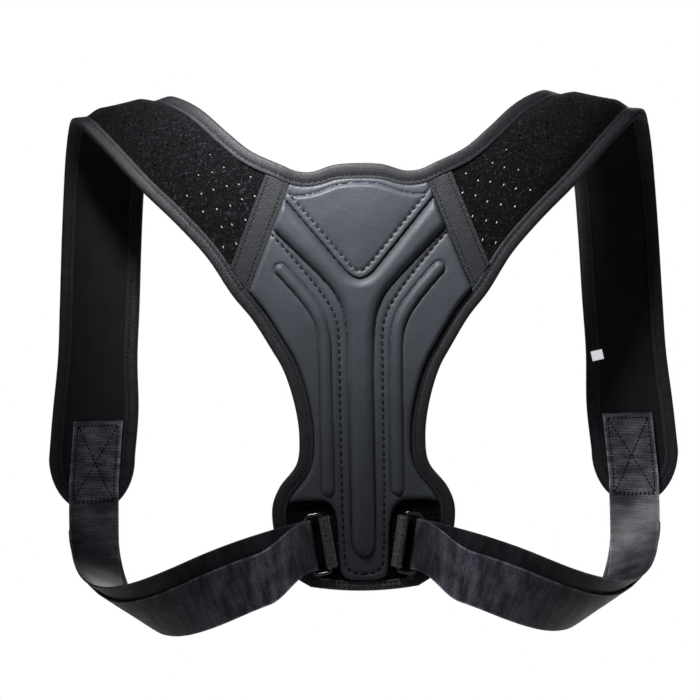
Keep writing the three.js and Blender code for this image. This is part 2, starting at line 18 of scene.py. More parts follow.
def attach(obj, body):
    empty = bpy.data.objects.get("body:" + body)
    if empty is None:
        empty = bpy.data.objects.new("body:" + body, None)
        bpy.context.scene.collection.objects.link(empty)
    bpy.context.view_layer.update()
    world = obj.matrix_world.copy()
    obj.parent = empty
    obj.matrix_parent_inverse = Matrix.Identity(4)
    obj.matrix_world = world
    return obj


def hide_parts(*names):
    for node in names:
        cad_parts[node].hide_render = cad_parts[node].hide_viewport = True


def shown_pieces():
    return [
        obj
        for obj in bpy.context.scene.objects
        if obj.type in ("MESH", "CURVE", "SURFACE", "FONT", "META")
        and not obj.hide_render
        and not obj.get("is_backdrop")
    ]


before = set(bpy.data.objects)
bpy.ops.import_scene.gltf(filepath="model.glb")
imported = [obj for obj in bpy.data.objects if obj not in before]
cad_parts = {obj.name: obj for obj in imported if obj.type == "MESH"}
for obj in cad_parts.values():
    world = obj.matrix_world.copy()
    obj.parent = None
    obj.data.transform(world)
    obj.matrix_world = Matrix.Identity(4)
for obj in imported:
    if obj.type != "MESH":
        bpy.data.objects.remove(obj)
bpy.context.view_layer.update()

# %% [markdown]
# ## Sizes
#
# All lengths are millimetres, measured from the middle of the panel's hem, because that is how a
# pattern cutter would mark the cloth. Only when a mesh is written are they turned into metres
# and moved to the frame's origin, which lies between the shoulders.

# %% Sizes of the panel and straps
MM = 0.001
ORIGIN = np.array([0.0, -54.0, -344.2268])
panel_height, hem_width, lobe_width, waist_width = 299.0, 76.0, 127.0, 88.0
panel_top_width, neck_width, neck_dip, hem_sag = 178.0, 106.0, 5.6, 3.2
fabric = 3.2
shoulder_span, crest_height, worn_depth = 416.0, 353.6, 108.0
front_span, front_drop = 412.0, 305.4
front_strap, strap_end, strap_round = 60.3, 65.0, 41.0
binding_width, binding_half = 10.0, 3.2
hem_binding_width, hem_binding_length = 7.0, 61.0
tape, seam_tape_width, gap = 1.0, 17.6, 0.3
edge_inset = 1.6
print("panel", panel_height, "mm tall,", panel_top_width, "mm wide at the seams")

# %% [markdown]
# ## The two edges
#
# A strap and its half of the panel are cut from one outline. It is given as two lists of
# points, the neck edge and the arm edge, and a smooth curve runs through each. Both curves share
# a station number: 0 is the seam between panel and strap, 15 is where the round end starts.

# %% Points on the edges
arm_panel = [
    (hem_width, 1.0, 0.011), (lobe_width, 0.747, 0.032), (lobe_width, 0.9, 0.079),
    (lobe_width, 0.989, 0.142), (lobe_width, 1.0, 0.2), (lobe_width, 0.923, 0.2425),
    (waist_width, 1.048, 0.2987), (waist_width, 1.0, 0.3595), (waist_width, 1.063, 0.4344),
    (waist_width, 1.238, 0.5187), (panel_top_width, 0.708, 0.57),
    (panel_top_width, 0.849, 0.638), (panel_top_width, 1.0, 0.694),
]
arm_shoulder = [
    (0.513, 0.037, 0.6632), (0.617, 0.093, 0.7314), (0.735, 0.185, 0.7992),
    (0.808, 0.259, 0.8452), (0.911, 0.389, 0.9103), (0.977, 0.481, 0.9481),
    (1.011, 0.593, 0.9588), (1.038, 0.759, 0.9422), (1.06, 0.889, 0.8943),
]
neck_panel = [(-0.32, 0.18), (0, 0), (0.32, 0.18), (0.62, 1.0), (0.816, 0.875), (1.0, 0.125)]
neck_shoulder = [
    (0.362, 0.065, 0.875), (0.443, 0.148, 0.9156), (0.527, 0.278, 0.9624),
    (0.584, 0.38, 0.9857), (0.642, 0.5, 1.0), (0.673, 0.611, 0.9986),
    (0.717, 0.778, 0.9764), (0.749, 0.889, 0.9366), (0.771, 0.954, 0.8859),
]
front_rows = [
    (0.203, 0.939, front_strap, 0.991, 0.963), (0.325, 0.951, front_strap, 1.0, 0.985),
    (0.484, 0.962, front_strap, 1.0, 0.99), (0.6186, 0.973, front_strap, 1.0, 1.0),
    (0.753, 0.984, strap_end, 1.0, 1.0),
]
end_x, end_z = front_span / 2, crest_height - front_drop
round_z = end_z + strap_round


def front_point(row, side):
    drop, middle, width, neck_depth, arm_depth = row
    depth = neck_depth if side < 0 else arm_depth
    x = end_x * middle + side * width / 2
    return (x, worn_depth * depth, crest_height - front_drop * drop)


def shoulder_point(row):
    return (shoulder_span / 2 * row[0], worn_depth * row[1], crest_height * row[2])


arm_points = [(size / 2 * share, 0, panel_height * up) for size, share, up in arm_panel]
arm_points += [shoulder_point(row) for row in arm_shoulder]
arm_points += [front_point(row, 1) for row in front_rows]
arm_points += [(end_x + strap_end / 2, worn_depth, round_z)]
neck_points = [(neck_width / 2 * x, 0, panel_height - neck_dip * dip) for x, dip in neck_panel]
neck_points += [shoulder_point(row) for row in neck_shoulder]
neck_points += [front_point(row, -1) for row in front_rows]
neck_points += [(end_x - strap_end / 2, worn_depth, round_z)]
ARM_SEAM, NECK_SEAM = len(arm_panel) - 1, len(neck_panel) - 1
STRAIGHT = len(arm_points) - 1 - ARM_SEAM
print("stations from the seam to the round end:", STRAIGHT)


# %% Curves through the points
def unit(vectors):
    return vectors / np.maximum(np.linalg.norm(vectors, axis=-1, keepdims=True), 1e-12)


def smooth_curve(points):
    """A centripetal Catmull-Rom curve, as a function of the point number."""
    p = np.array(points, float)
    p = np.vstack([2 * p[0] - p[1], p, 2 * p[-1] - p[-2]])

    def at(t):
        t = np.clip(np.asarray(t, float), 0, len(p) - 3 - 1e-9)
        i = np.floor(t).astype(int)
        w = (t - i)[..., None]
        a, b, c, d = p[i], p[i + 1], p[i + 2], p[i + 3]
        k0, k1, k2 = (
            np.sqrt(np.linalg.norm(q - r, axis=-1, keepdims=True))
            for q, r in ((b, a), (c, b), (d, c))
        )
        first = ((b - a) / k0 - (c - a) / (k0 + k1) + (c - b) / k1) * k1
        last = ((c - b) / k1 - (d - b) / (k1 + k2) + (d - c) / k2) * k1
        bend = -3 * b + 3 * c - 2 * first - last
        return b + first * w + bend * w**2 + (2 * b - 2 * c + first + last) * w**3

    return at


arm_curve, neck_curve = smooth_curve(arm_points), smooth_curve(neck_points)


def edge(side, station, inset=0.0):
    """Points on the neck (-1) or arm (1) edge. Past STRAIGHT they follow the round end."""
    s = np.asarray(station, float)
    curve, seam = (neck_curve, NECK_SEAM) if side < 0 else (arm_curve, ARM_SEAM)
    straight = curve(np.minimum(s, STRAIGHT) + seam)
    turn = np.clip(s - STRAIGHT, 0, 1) * math.pi / 2
    x = end_x + side * (strap_end / 2 - inset) * np.cos(turn)
    z = round_z - (strap_round - inset) * np.sin(turn)
    rounded = np.stack([x, np.full_like(x, worn_depth), z], -1)
    return np.where((s > STRAIGHT)[..., None], rounded, straight)


def edge_way(side, station):
    s = np.asarray(station, float)
    first = -NECK_SEAM if side < 0 else -ARM_SEAM
    ahead, behind = np.minimum(s + 0.01, STRAIGHT + 1), np.maximum(s - 0.01, first)
    return unit(edge(side, ahead) - edge(side, behind))


def outward(side, station):
    """The way out of the cloth: backward on the panel, off the body on the strap."""
    s = np.asarray(station, float)
    across = edge(1, s) - edge(-1, s)
    out = unit(np.cross(across, edge_way(side, s)))
    out = np.where((s <= 0)[..., None], [0.0, -1.0, 0.0], out)
    return np.where((s >= STRAIGHT)[..., None], [0.0, 1.0, 0.0], out)


print("strap crest at", round(float(edge(-1, np.array([5.0]))[0, 2]), 1), "mm above the hem")

# %% [markdown]
# ## How a grid becomes cloth
#
# `cloth_grid` adds Blender's grid primitive and hands every point's two shares, across and
# along, to a function that says where it lies. The function also says how far across and along
# the real cloth that point is, and those lengths become the UV map, so a weave drawn on the UV
# map is the right size everywhere and bends with the cloth.


# %% Grid tools
def only(piece):
    bpy.ops.object.select_all(action="DESELECT")
    piece.select_set(True)
    bpy.context.view_layer.objects.active = piece


def got(items, what, size=1, kind=float):
    """A mesh's values as an array, a row to each vertex, face or corner."""
    flat = np.empty(len(items) * size, kind)
    items.foreach_get(what, flat)
    return flat.reshape(-1, size) if size > 1 else flat


def read_points(mesh):
    return got(mesh.vertices, "co", 3)


def write_points(mesh, points):
    mesh.vertices.foreach_set("co", ((points + ORIGIN) * MM).ravel())
    mesh.update()


def corners_of(mesh):
    """The vertex that each face corner belongs to."""
    return got(mesh.loops, "vertex_index", kind=int)


def write_lengths(mesh, lengths):
    """Puts lengths across and along, in millimetres, into the UV map, in metres."""
    layer = mesh.uv_layers.active or mesh.uv_layers.new(name="UVMap")
    layer.data.foreach_set("uv", (lengths[corners_of(mesh)] * MM).ravel())


def read_lengths(mesh):
    lengths = np.empty((len(mesh.vertices), 2))
    lengths[corners_of(mesh)] = got(mesh.uv_layers.active.data, "uv", 2) / MM
    return lengths


def cloth_grid(name, columns, rows, place):
    bpy.ops.object.select_all(action="DESELECT")
    bpy.ops.mesh.primitive_grid_add(x_subdivisions=columns, y_subdivisions=rows, size=2)
    piece = bpy.context.object
    piece.name = piece.data.name = name
    share = (read_points(piece.data)[:, :2] + 1) / 2
    points, lengths = place(share[:, 0], share[:, 1])
    write_points(piece.data, points)
    write_lengths(piece.data, lengths)
    return piece


def select(piece, vertices=None, faces=None):
    """Goes into edit mode with just these vertices or faces selected."""
    only(piece)
    mesh = piece.data
    bpy.context.tool_settings.mesh_select_mode = (faces is None, False, faces is not None)
    for items in (mesh.vertices, mesh.edges, mesh.polygons):
        items.foreach_set("select", np.zeros(len(items), bool))
    if faces is None:
        mesh.vertices.foreach_set("select", vertices)
    else:
        mesh.polygons.foreach_set("select", faces)
    bpy.ops.object.mode_set(mode="EDIT")


def select_everything(piece):
    """Goes into edit mode with the whole piece selected."""
    only(piece)
    bpy.ops.object.mode_set(mode="EDIT")
    bpy.ops.mesh.select_all(action="SELECT")


def face_outward():
    bpy.ops.mesh.select_all(action="SELECT")
    bpy.ops.mesh.normals_make_consistent(inside=False)


def done():
    bpy.ops.object.mode_set(mode="OBJECT")


def placed(name, data):
    """Puts a mesh, a lamp or the camera into the scene."""
    thing = bpy.data.objects.new(name, data)
    bpy.context.scene.collection.objects.link(thing)
    return thing


def modified(piece, kind, **settings):
    only(piece)
    modifier = piece.modifiers.new(kind.title(), kind)
    for key, value in settings.items():
        setattr(modifier, key, value)
    bpy.ops.object.modifier_apply(modifier=modifier.name)


def thicken(piece, thickness, offset=0.0):
    modified(piece, "SOLIDIFY", thickness=thickness * MM, offset=offset, use_even_offset=False)


def smooth(piece, angle):
    only(piece)
    bpy.ops.object.shade_smooth_by_angle(angle=math.radians(angle))


def tidy_normals(piece):
    select_everything(piece)
    bpy.ops.mesh.remove_doubles(threshold=0.02 * MM)
    face_outward()
    done()


# folds sharper than this many degrees stay sharp
STIFF, PLIANT = 50, 80


def made_of_cloth(piece, thickness, angle=PLIANT):
    """Gives a laid grid its thickness and its smooth shading."""
    thicken(piece, thickness)
    tidy_normals(piece)
    smooth(piece, angle)


def twin(piece, name):
    """The same piece for the other shoulder, mirrored in the middle of the body."""
    only(piece)
    bpy.ops.object.duplicate(linked=False)
    copy = bpy.context.object
    copy.name = copy.data.name = name
    points = read_points(copy.data)
    points[:, 0] *= -1
    copy.data.vertices.foreach_set("co", points.ravel())
    select_everything(copy)
    bpy.ops.mesh.flip_normals()
    done()
    return copy


# %% Small maths
def ramp(x, low, high):
    t = np.clip((x - low) / (high - low), 0, 1)
    return t * t * (3 - 2 * t)


def bulge(distance, width):
    """0 at the edge, 1 from width inward, round like the shoulder of a cushion."""
    t = np.clip(distance / width, 0, 1)
    return np.sqrt(np.clip(1 - (1 - t) ** 2, 0, 1))


def ripple(x, y, size):
    """A soft unevenness between -1 and 1, the same on every run."""
    total = 0
    for k, (a, b) in enumerate(((0.9, 0.43), (-0.37, 1.0), (0.71, -0.77), (-1.1, -0.21))):
        total = total + np.sin((a * x + b * y) * 2 * math.pi / size * (1 + 0.27 * k) + 1.7 * k)
    return total / 4


def rib_wave(run, pitch):
    """The height of a tape's ribs along it, from -0.5 in a groove to 0.5 on a rib."""
    return np.abs(np.sin(math.pi * run / pitch)) - 0.5


def to_line(points, line):
    """For flat points and a line of points: the distance and the length along at the nearest."""
    line = np.asarray(line, float)
    best = np.full(len(points), 1e9)
    along = np.zeros(len(points))
    run = 0.0
    for a, b in zip(line[:-1], line[1:]):
        step = b - a
        size = float(np.hypot(*step))
        t = np.clip((points - a) @ step / size**2, 0, 1)
        away = np.hypot(*(points - a - t[:, None] * step).T)
        near = away < best
        best[near], along[near] = away[near], run + t[near] * size
        run += size
    return best, along


def within(points, outline):
    """Which flat points lie inside a closed outline."""
    x, y = points[:, 0], points[:, 1]
    inside = np.zeros(len(points), bool)
    for (ax, ay), (bx, by) in zip(outline, np.roll(outline, -1, axis=0)):
        if ay == by:
            continue
        crosses = (ay > y) != (by > y)
        inside ^= crosses & (x < (bx - ax) * (y - ay) / (by - ay) + ax)
    return inside


def run_of(line):
    """The length along a line of points, at each point."""
    steps = np.linalg.norm(np.diff(line, axis=0), axis=1)
    return np.concatenate([[0], np.cumsum(steps)])


def on_line(at, run, line):
    """Points of a line at these lengths along it."""
    return np.stack([np.interp(at, run, column) for column in line.T], -1)


def resampled(line, step):
    """Points at an even step along a line of points."""
    line = np.asarray(line, float)
    run = run_of(line)
    count = max(int(round(run[-1] / step)), 1)
    return on_line(np.linspace(0, run[-1], count + 1), run, line)


def rows_of(row, count):
    return np.tile(np.array(row, float), (count, 1))


BACKWARD, UPWARD = (0, -1, 0), (0, 0, 1)


# %% [markdown]
# ## Camera
#
# The photograph looks straight at the back, from about 1.3 m, with the brace turned a little in
# the picture. The camera comes before the pieces, and the lens follows from the distance and
# from how much of the picture the brace fills.

# %% Camera
VIEW_TURN, VIEW_ROLL = math.radians(0.5), math.radians(0.9)
VIEW_DISTANCE, VIEW_HEIGHT, VIEW_ASIDE = 1280.0, -175.8, -7.7
camera_data = bpy.data.cameras.new("camera")
camera_data.sensor_width = 36.0
camera_data.lens = 94.04
camera = placed("camera", camera_data)
aside = Vector((math.cos(VIEW_TURN), math.sin(VIEW_TURN), 0)) * VIEW_ASIDE
back = Vector((math.sin(VIEW_TURN), -math.cos(VIEW_TURN), 0)) * VIEW_DISTANCE
camera.location = (aside + back + Vector((0, ORIGIN[1], VIEW_HEIGHT))) * MM
camera.rotation_euler = (
    Matrix.Rotation(VIEW_TURN, 3, "Z")
    @ Matrix.Rotation(math.pi / 2, 3, "X")
    @ Matrix.Rotation(-VIEW_ROLL, 3, "Z")
).to_euler()
bpy.context.scene.camera = camera
print("camera at", [round(v, 4) for v in camera.location])

# %% [markdown]
# ## Materials
#
# Black cloth photographs as many different blacks: the nap of the loop fabric swallows light, the
# binding's ribs catch it, nylon webbing has a silky streak, and the pad is a fine-grained faux
# leather. Each gets its own colour noise and bump. The webbing's silky streak is a painted sheen:
# its colour is made brighter along its length, most on its patch and by the ring. Patterns that
# have to follow the cloth read the UV map; the rest read Object coordinates. Plain numbers go
# straight on the shader.


# %% Material tools
class Paint:
    """A material and its nodes. Each method that adds a node gives back its output."""

    def __init__(self, name, roughness, **settings):
        self.material = bpy.data.materials.new(name)
        self.material.use_nodes = True
        self.nodes, self.links = self.material.node_tree.nodes, self.material.node_tree.links
        self.shader = self.nodes["Principled BSDF"]
        self.put(self.shader, Roughness=roughness, **settings)
        print("made", name)

    def put(self, node, **values):
        """Sets inputs by name: another node's output is linked, anything else is a constant."""
        for key, value in values.items():
            socket = node.inputs[key.replace("_", " ")]
            if isinstance(value, bpy.types.NodeSocket):
                self.links.new(value, socket)
            else:
                socket.default_value = value

    def add(self, kind, output, **values):
        node = self.nodes.new("ShaderNode" + kind)
        self.put(node, **values)
        return node.outputs[output]

    def where(self, source="Object", scale=(1, 1, 1)):
        return self.add("Mapping", "Vector", Vector=self.add("TexCoord", source), Scale=scale)

    def noise(self, vector, scale, detail=3.0, rough=0.55):
        return self.add(
            "TexNoise", "Fac", Vector=vector, Scale=scale, Detail=detail, Roughness=rough
        )

    def cells(self, vector, scale):
        return self.add("TexVoronoi", "Distance", Vector=vector, Scale=scale)

    def waves(self, vector, scale, direction="Y", distortion=0.0, phase=0.0):
        fac = self.add(
            "TexWave", "Fac", Vector=vector, Scale=scale, Distortion=distortion, Detail=1.0,
            Phase_Offset=phase,
        )
        fac.node.bands_direction = direction
        return fac

    def colours(self, fac, stops):
        """A colour ramp through stops of (place, colour), the places rising."""
        colour = self.add("ValToRGB", "Color", Fac=fac)
        elements = colour.node.color_ramp.elements
        for k, (place, shade) in enumerate(stops):
            element = elements[k] if k < 2 else elements.new(place)
            element.position, element.color = place, (*shade, 1)
        return colour

    def two_colours(self, fac, dark, light, low=0.3, high=0.7):
        return self.colours(fac, [(low, dark), (high, light)])

    def times(self, first, *others):
        for other in others:
            node = self.nodes.new("ShaderNodeMix")
            node.data_type, node.blend_type = "RGBA", "MULTIPLY"
            self.put(node, Factor=1.0, A=first, B=other)
            first = node.outputs["Result"]
        return first

    def base(self, colour):
        self.put(self.shader, Base_Color=colour)

    def wear(self, fac, low, high):
        rough = self.add("MapRange", "Result", Value=fac, To_Min=low, To_Max=high)
        self.put(self.shader, Roughness=rough)

    def bumps(self, *layers):
        """Stacks bump nodes, each with its own height, strength and depth in millimetres."""
        below = {}
        for height, strength, depth in layers:
            below["Normal"] = self.add(
                "Bump", "Normal", Height=height, Strength=strength, Distance=depth * MM, **below
            )
        self.put(self.shader, **below)


WHITE = (1, 1, 1)


def grey(value):
    return (value, value, value)


# %% Pad leather
pad_leather = Paint("pad_leather", 0.5, Specular_IOR_Level=0.35)
spot = pad_leather.where()
grain = pad_leather.cells(spot, 1150)
crease = pad_leather.noise(spot, 620, 4)
cloud = pad_leather.noise(spot, 24, 3)
colour = pad_leather.two_colours(cloud, (0.030, 0.0335, 0.041), (0.042, 0.047, 0.057))
pores = pad_leather.two_colours(grain, (0.72, 0.72, 0.74), WHITE, 0.0, 0.45)
pad_leather.base(pad_leather.times(colour, pores))
pad_leather.wear(crease, 0.42, 0.66)
pad_leather.bumps((grain, 0.55, 0.14), (crease, 0.5, 0.16))

# %% Loop fabric
loop_cloth = Paint(
    "loop_fabric", 0.95, Sheen_Weight=0.03, Sheen_Roughness=0.45, Specular_IOR_Level=0.1
)
spot = loop_cloth.where()
nap = loop_cloth.noise(spot, 480, 7, 0.78)
curls = loop_cloth.cells(spot, 520)
speck = loop_cloth.two_colours(
    nap, (0.0016, 0.0018, 0.0026), (0.075, 0.078, 0.095), 0.52, 0.76
)
shade = loop_cloth.two_colours(curls, WHITE, grey(0.3), 0.1, 0.6)
loop_cloth.base(loop_cloth.times(speck, shade))
loop_cloth.bumps((nap, 1.0, 0.9), (curls, 0.7, 0.45))

# %% Lining cloth
lining_cloth = Paint("lining_cloth", 0.75, Specular_IOR_Level=0.25)
knit = lining_cloth.waves(lining_cloth.where("UV"), 330, "DIAGONAL", 2.0)
fold = lining_cloth.noise(lining_cloth.where(), 60, 3)
lining_cloth.base(lining_cloth.two_colours(fold, (0.003, 0.0032, 0.004), (0.0065, 0.007, 0.009)))
lining_cloth.bumps((knit, 0.35, 0.08), (fold, 0.3, 0.4))

# %% Ribbed tapes
THREAD_PITCH = 0.9
BINDING_RIB, SEAM_RIB, WEB_RIB = 1.35, 1.5, 1.15
# the two wave nodes that draw ribs and threads repeat 20 times in 2 pi
WAVE_UNIT = 2 * math.pi / 20


def ribbed_cloth(name, dark, light, roughness, pitch, rib_shade, streak):
    """A woven tape. Its ribs are real, and their grooves are shaded at the same pitch here."""
    paint = Paint(name, roughness, Sheen_Weight=0.06, Sheen_Roughness=0.4, Specular_IOR_Level=0.35)
    weave = paint.where("UV")
    ribs = paint.waves(weave, WAVE_UNIT / (pitch * MM), phase=-math.pi / 2)
    thread = paint.waves(weave, WAVE_UNIT / (THREAD_PITCH * MM), "X", 1.0)
    uneven = paint.noise(paint.where("UV", streak), 1.0, 3, 0.6)
    fuzz = paint.noise(paint.where(), 1300, 5, 0.7)
    colour = paint.times(
        paint.two_colours(uneven, dark, light, 0.38, 0.74),
        paint.two_colours(fuzz, (0.25, 0.25, 0.27), WHITE, 0.36, 0.62),
        paint.two_colours(thread, grey(0.55), WHITE, 0.2, 0.7),
        paint.two_colours(ribs, grey(rib_shade), WHITE, 0.2, 0.9),
    )
    paint.base(colour)
    paint.wear(uneven, roughness + 0.08, roughness - 0.1)
    paint.bumps((thread, 0.4, 0.10), (ribs, 0.35, 0.18), (fuzz, 0.6, 0.15))
    return paint, weave, colour


binding_cloth, _, _ = ribbed_cloth(
    "binding_tape", (0.024, 0.026, 0.033), (0.052, 0.056, 0.069), 0.6, BINDING_RIB, 0.07,
    (60, 300, 1),
)
# the hem tape is the binding's cloth painted much lighter, to make up for the shade the hem lies
# in
hem_cloth_painted_lighter, _, _ = ribbed_cloth(
    "hem_tape", (0.13, 0.134, 0.15), (0.32, 0.325, 0.36), 0.6, BINDING_RIB, 0.07, (60, 300, 1)
)
seam_cloth, _, _ = ribbed_cloth(
    "seam_tape", (0.027, 0.030, 0.037), (0.053, 0.058, 0.071), 0.6, SEAM_RIB, 0.08, (90, 300, 1)
)
tab_cloth, _, _ = ribbed_cloth(
    "tab_webbing", (0.06, 0.063, 0.07), (0.42, 0.43, 0.46), 0.7, WEB_RIB, 0.2, (500, 500, 1)
)
webbing_cloth, weave, colour = ribbed_cloth(
    "webbing", (0.026, 0.027, 0.033), (0.125, 0.128, 0.150), 0.42, WEB_RIB, 0.22, (42, 130, 1)
)

# %% Selvedges and painted sheen of the webbing
WEB_HALF, WEB_LENGTH = 18.6, 581.0
# how much brighter the webbing's colour is painted at each length along it: a painted sheen,
# brightest on its patch and on the tail by the ring
WEB_PAINTED_SHEEN = [
    (0.0, 3.6), (48.0, 3.6), (66.0, 2.5), (115.0, 1.9), (155.0, 0.8), (325.0, 0.9),
    (343.0, 2.2), (366.0, 5.6), (402.0, 4.0), (455.0, 1.2), (WEB_LENGTH, 0.9),
]
across = webbing_cloth.add("SeparateXYZ", "X", Vector=weave)
side = webbing_cloth.nodes.new("ShaderNodeMath")
side.operation = "ABSOLUTE"
webbing_cloth.links.new(across, side.inputs[0])
selvedge = webbing_cloth.add(
    "MapRange", "Result", Value=side.outputs["Value"], From_Min=(WEB_HALF - 1.6) * MM,
    From_Max=(WEB_HALF - 0.7) * MM,
)
run = webbing_cloth.add(
    "MapRange", "Result", Value=across.node.outputs["Y"], From_Max=WEB_LENGTH * MM
)
webbing_cloth.base(webbing_cloth.times(
    colour,
    webbing_cloth.two_colours(selvedge, WHITE, grey(2.6), 0.0, 1.0),
    # the painted sheen: the colour is made brighter along the webbing's length
    webbing_cloth.colours(
        run, [(at / WEB_LENGTH, (lit, lit, 1.03 * lit)) for at, lit in WEB_PAINTED_SHEEN]
    ),
))
print("webbing silk has", len(WEB_PAINTED_SHEEN), "stops")

# %% Ring paint, thread and label
ring_paint = Paint(
    "ring_metal", 0.16, Specular_IOR_Level=0.6, Coat_Weight=0.7, Coat_Roughness=0.06
)
rub = ring_paint.noise(ring_paint.where(), 300, 3)
ring_paint.base(ring_paint.two_colours(rub, (0.006, 0.006, 0.007), (0.018, 0.018, 0.020)))
ring_paint.wear(rub, 0.12, 0.26)
ring_paint.bumps((rub, 0.15, 0.03))

dark_thread = Paint("dark_thread", 0.8, Specular_IOR_Level=0.15)
twist = dark_thread.waves(dark_thread.where(), 700, "DIAGONAL", 1.0)
dark_thread.base(dark_thread.two_colours(twist, (0.0015, 0.0015, 0.002), (0.006, 0.0065, 0.008)))
dark_thread.bumps((twist, 0.5, 0.08))

# the label's cloth has a faint white glow, painted light that keeps it bright white
label_cloth = Paint(
    "label_cloth", 0.8, Specular_IOR_Level=0.3, Emission_Strength=0.55,
    Emission_Color=(0.95, 0.96, 1.0, 1),
)
satin = label_cloth.waves(label_cloth.where("UV"), 900, "Y", 1.0)
label_cloth.base(label_cloth.two_colours(satin, (0.72, 0.73, 0.74), (0.88, 0.89, 0.90)))
label_cloth.bumps((satin, 0.3, 0.05))


# %% Finishing a piece
def finish(piece, paint, slot, *replaced):
    """Gives a piece its finish, its body and the CAD nodes that it stands for."""
    piece.data.materials.clear()
    piece.data.materials.append(paint.material)
    piece.data.polygons.foreach_set("material_index", np.zeros(len(piece.data.polygons), int))
    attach(piece, "root")
    if replaced:
        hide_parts(*replaced)
    piece.data.calc_loop_triangles()
    print(f"{piece.name}: {len(piece.data.loop_triangles)} triangles")


def finish_pair(piece, paint, slot, *nodes):
    """Makes a right piece's twin and finishes both, each for the nodes on its own side."""
    other = twin(piece, piece.name.replace("right", "left"))
    for one, word in ((piece, "right"), (other, "left")):
        finish(one, paint, slot, *(f"{node}_{word}" for node in nodes))
    return piece, other


# %% [markdown]
# ## Back panel
#
# Under the pad lies one flat hourglass of foam-backed loop fabric. A plain way is to fill its
# outline with one face, but a face that large can't be napped or dished. So a grid the size of
# the panel is trimmed to the outline, like cloth cut to a pattern, and the cells on the border
# are pulled to the line.


# %% Outlines in the panel's plane
def flat(points):
    return points[..., [0, 2]]


def inset_points(side, stations, distance):
    way = unit(flat(edge_way(side, stations)))
    inward = np.stack([way[:, 1], -way[:, 0]], -1) * -side
    return flat(edge(side, stations)) + inward * distance


seam_top = flat(edge(-1, np.array([0.0])))[0]
seam_low = flat(edge(1, np.array([0.0])))[0]
seam_along = unit(seam_low - seam_top)
seam_out = np.array([-seam_along[1], seam_along[0]])


def clipped(outline, through, normal):
    kept = []
    for here, there in zip(outline, np.roll(outline, -1, axis=0)):
        a, b = (here - through) @ normal, (there - through) @ normal
        if a <= 0:
            kept.append(here)
        if (a < 0) != (b < 0):
            kept.append(here + (there - here) * (a / (a - b)))
    return np.array(kept)


def both_sides(half, through, normal):
    """Mirrors half an outline and cuts both top corners along the seam."""
    other = half[half[:, 0] > 1e-6][::-1] * [-1, 1]
    whole = clipped(np.vstack([half, other]), through, normal)
    return clipped(whole, through * [-1, 1], normal * [-1, 1])


def hem_arc(x):
    return hem_sag * (x / (hem_width / 2)) ** 2


def panel_outline(distance):
    neck = inset_points(-1, np.arange(1.25 - NECK_SEAM, 0.01, 0.25), distance)
    arm = inset_points(1, -np.arange(0, ARM_SEAM, 0.25), distance)
    x = np.linspace(hem_width / 2, 0, 9)
    hem = np.stack([x, hem_arc(x) + distance], -1)
    half = np.vstack([[[0, panel_height - distance]], neck, arm, hem])
    return both_sides(half, seam_top - seam_out * gap, seam_out)


def trimmed_grid(name, outline, cell):
    """A flat grid, cut to an outline in (x, z)."""
    low, high = outline.min(0), outline.max(0)
    columns, rows = (int(math.ceil(size / cell)) for size in high - low)

    def place(u, v):
        x = low[0] + (high[0] - low[0]) * u
        z = low[1] + (high[1] - low[1]) * v
        return np.stack([x, 0 * x, z], -1), np.stack([x, z], -1)

    piece = cloth_grid(name, columns, rows, place)
    mesh = piece.data
    centre = got(mesh.polygons, "center", 3) / MM - ORIGIN
    select(piece, faces=~within(flat(centre), outline))
    bpy.ops.mesh.delete(type="FACE")
    face_outward()
    bpy.ops.mesh.select_all(action="DESELECT")
    bpy.context.tool_settings.mesh_select_mode = (True, False, False)
    bpy.ops.mesh.select_non_manifold()
    done()
    border = got(mesh.vertices, "select", kind=bool)
    points = read_points(mesh) / MM - ORIGIN
    closed = resampled(np.vstack([outline, outline[:1]]), cell / 4)
    for i in np.flatnonzero(border):
        nearest = closed[np.argmin(((closed - points[i, [0, 2]]) ** 2).sum(1))]
        points[i, 0], points[i, 2] = nearest
    return piece, points, border


# %% Panel cloth
panel, points, border = trimmed_grid("panel_cloth", panel_outline(edge_inset), 2.8)
points[:, 1] = 0.08 * ripple(points[:, 0], points[:, 2], 9)
write_points(panel.data, points)
made_of_cloth(panel, fabric - 0.2, STIFF)
finish(panel, loop_cloth, "loop_fabric", "back_panel")

# %% [markdown]
# ## The pad
#
# The pad is foam under faux leather, pressed in a hot mould: a raised Y with a stem down the
# spine, a slim rib on each side, sewn lines between them and a wavy step under the neck. Cloth
# simulation makes a good stuffed cushion, but this surface comes from a mould, so its height is
# worked out from the distance to each of the moulded lines. A fine grid carries those heights,
# and its border is extruded back to the panel and filled, which closes the pad.

# %% Lines that shape the pad, for one half, as distances from the middle and heights
pad_back = -fabric / 2 - gap
ring_wire, ring_play, webbing_width = 2.6, 0.7, 37.5
ring_height = webbing_width + 2 * ring_play + 2 * ring_wire
ring_fold_x, ring_fold_z, ring_width, tongue_width = 38.0, 33.0, 14.0, 37.0
ring_top = ring_fold_z + ring_height / 2
sewn_v = [(52, 281.9), (48, 277.7), (7.5, 228.4), (4.5, 225.3), (1.8, 223.6), (0, 223.2)]
arm_outer = [
    (75, 267.0), (59.2, 251.9), (39.3, 231.7), (25.5, 217.6), (17.2, 207.7), (12.2, 197.4),
    (9.9, 185.1), (9.0, 171.9), (8.7, 110), (8.6, 36), (7.6, 29.5), (5.2, 25.6), (0, 23.8),
]
sewn_outer = [
    (75, 263.5), (59.9, 249.1), (44.0, 230.3), (29.4, 212.2), (20.6, 199.0), (16.9, 190.0),
    (15.4, 182.4), (15.0, 171.9), (14.9, 76.5), (14.1, 40), (13.7, 22.2), (12.6, 16.7),
    (9.0, 13.6), (4.5, 12.3), (0, 12.0),
]
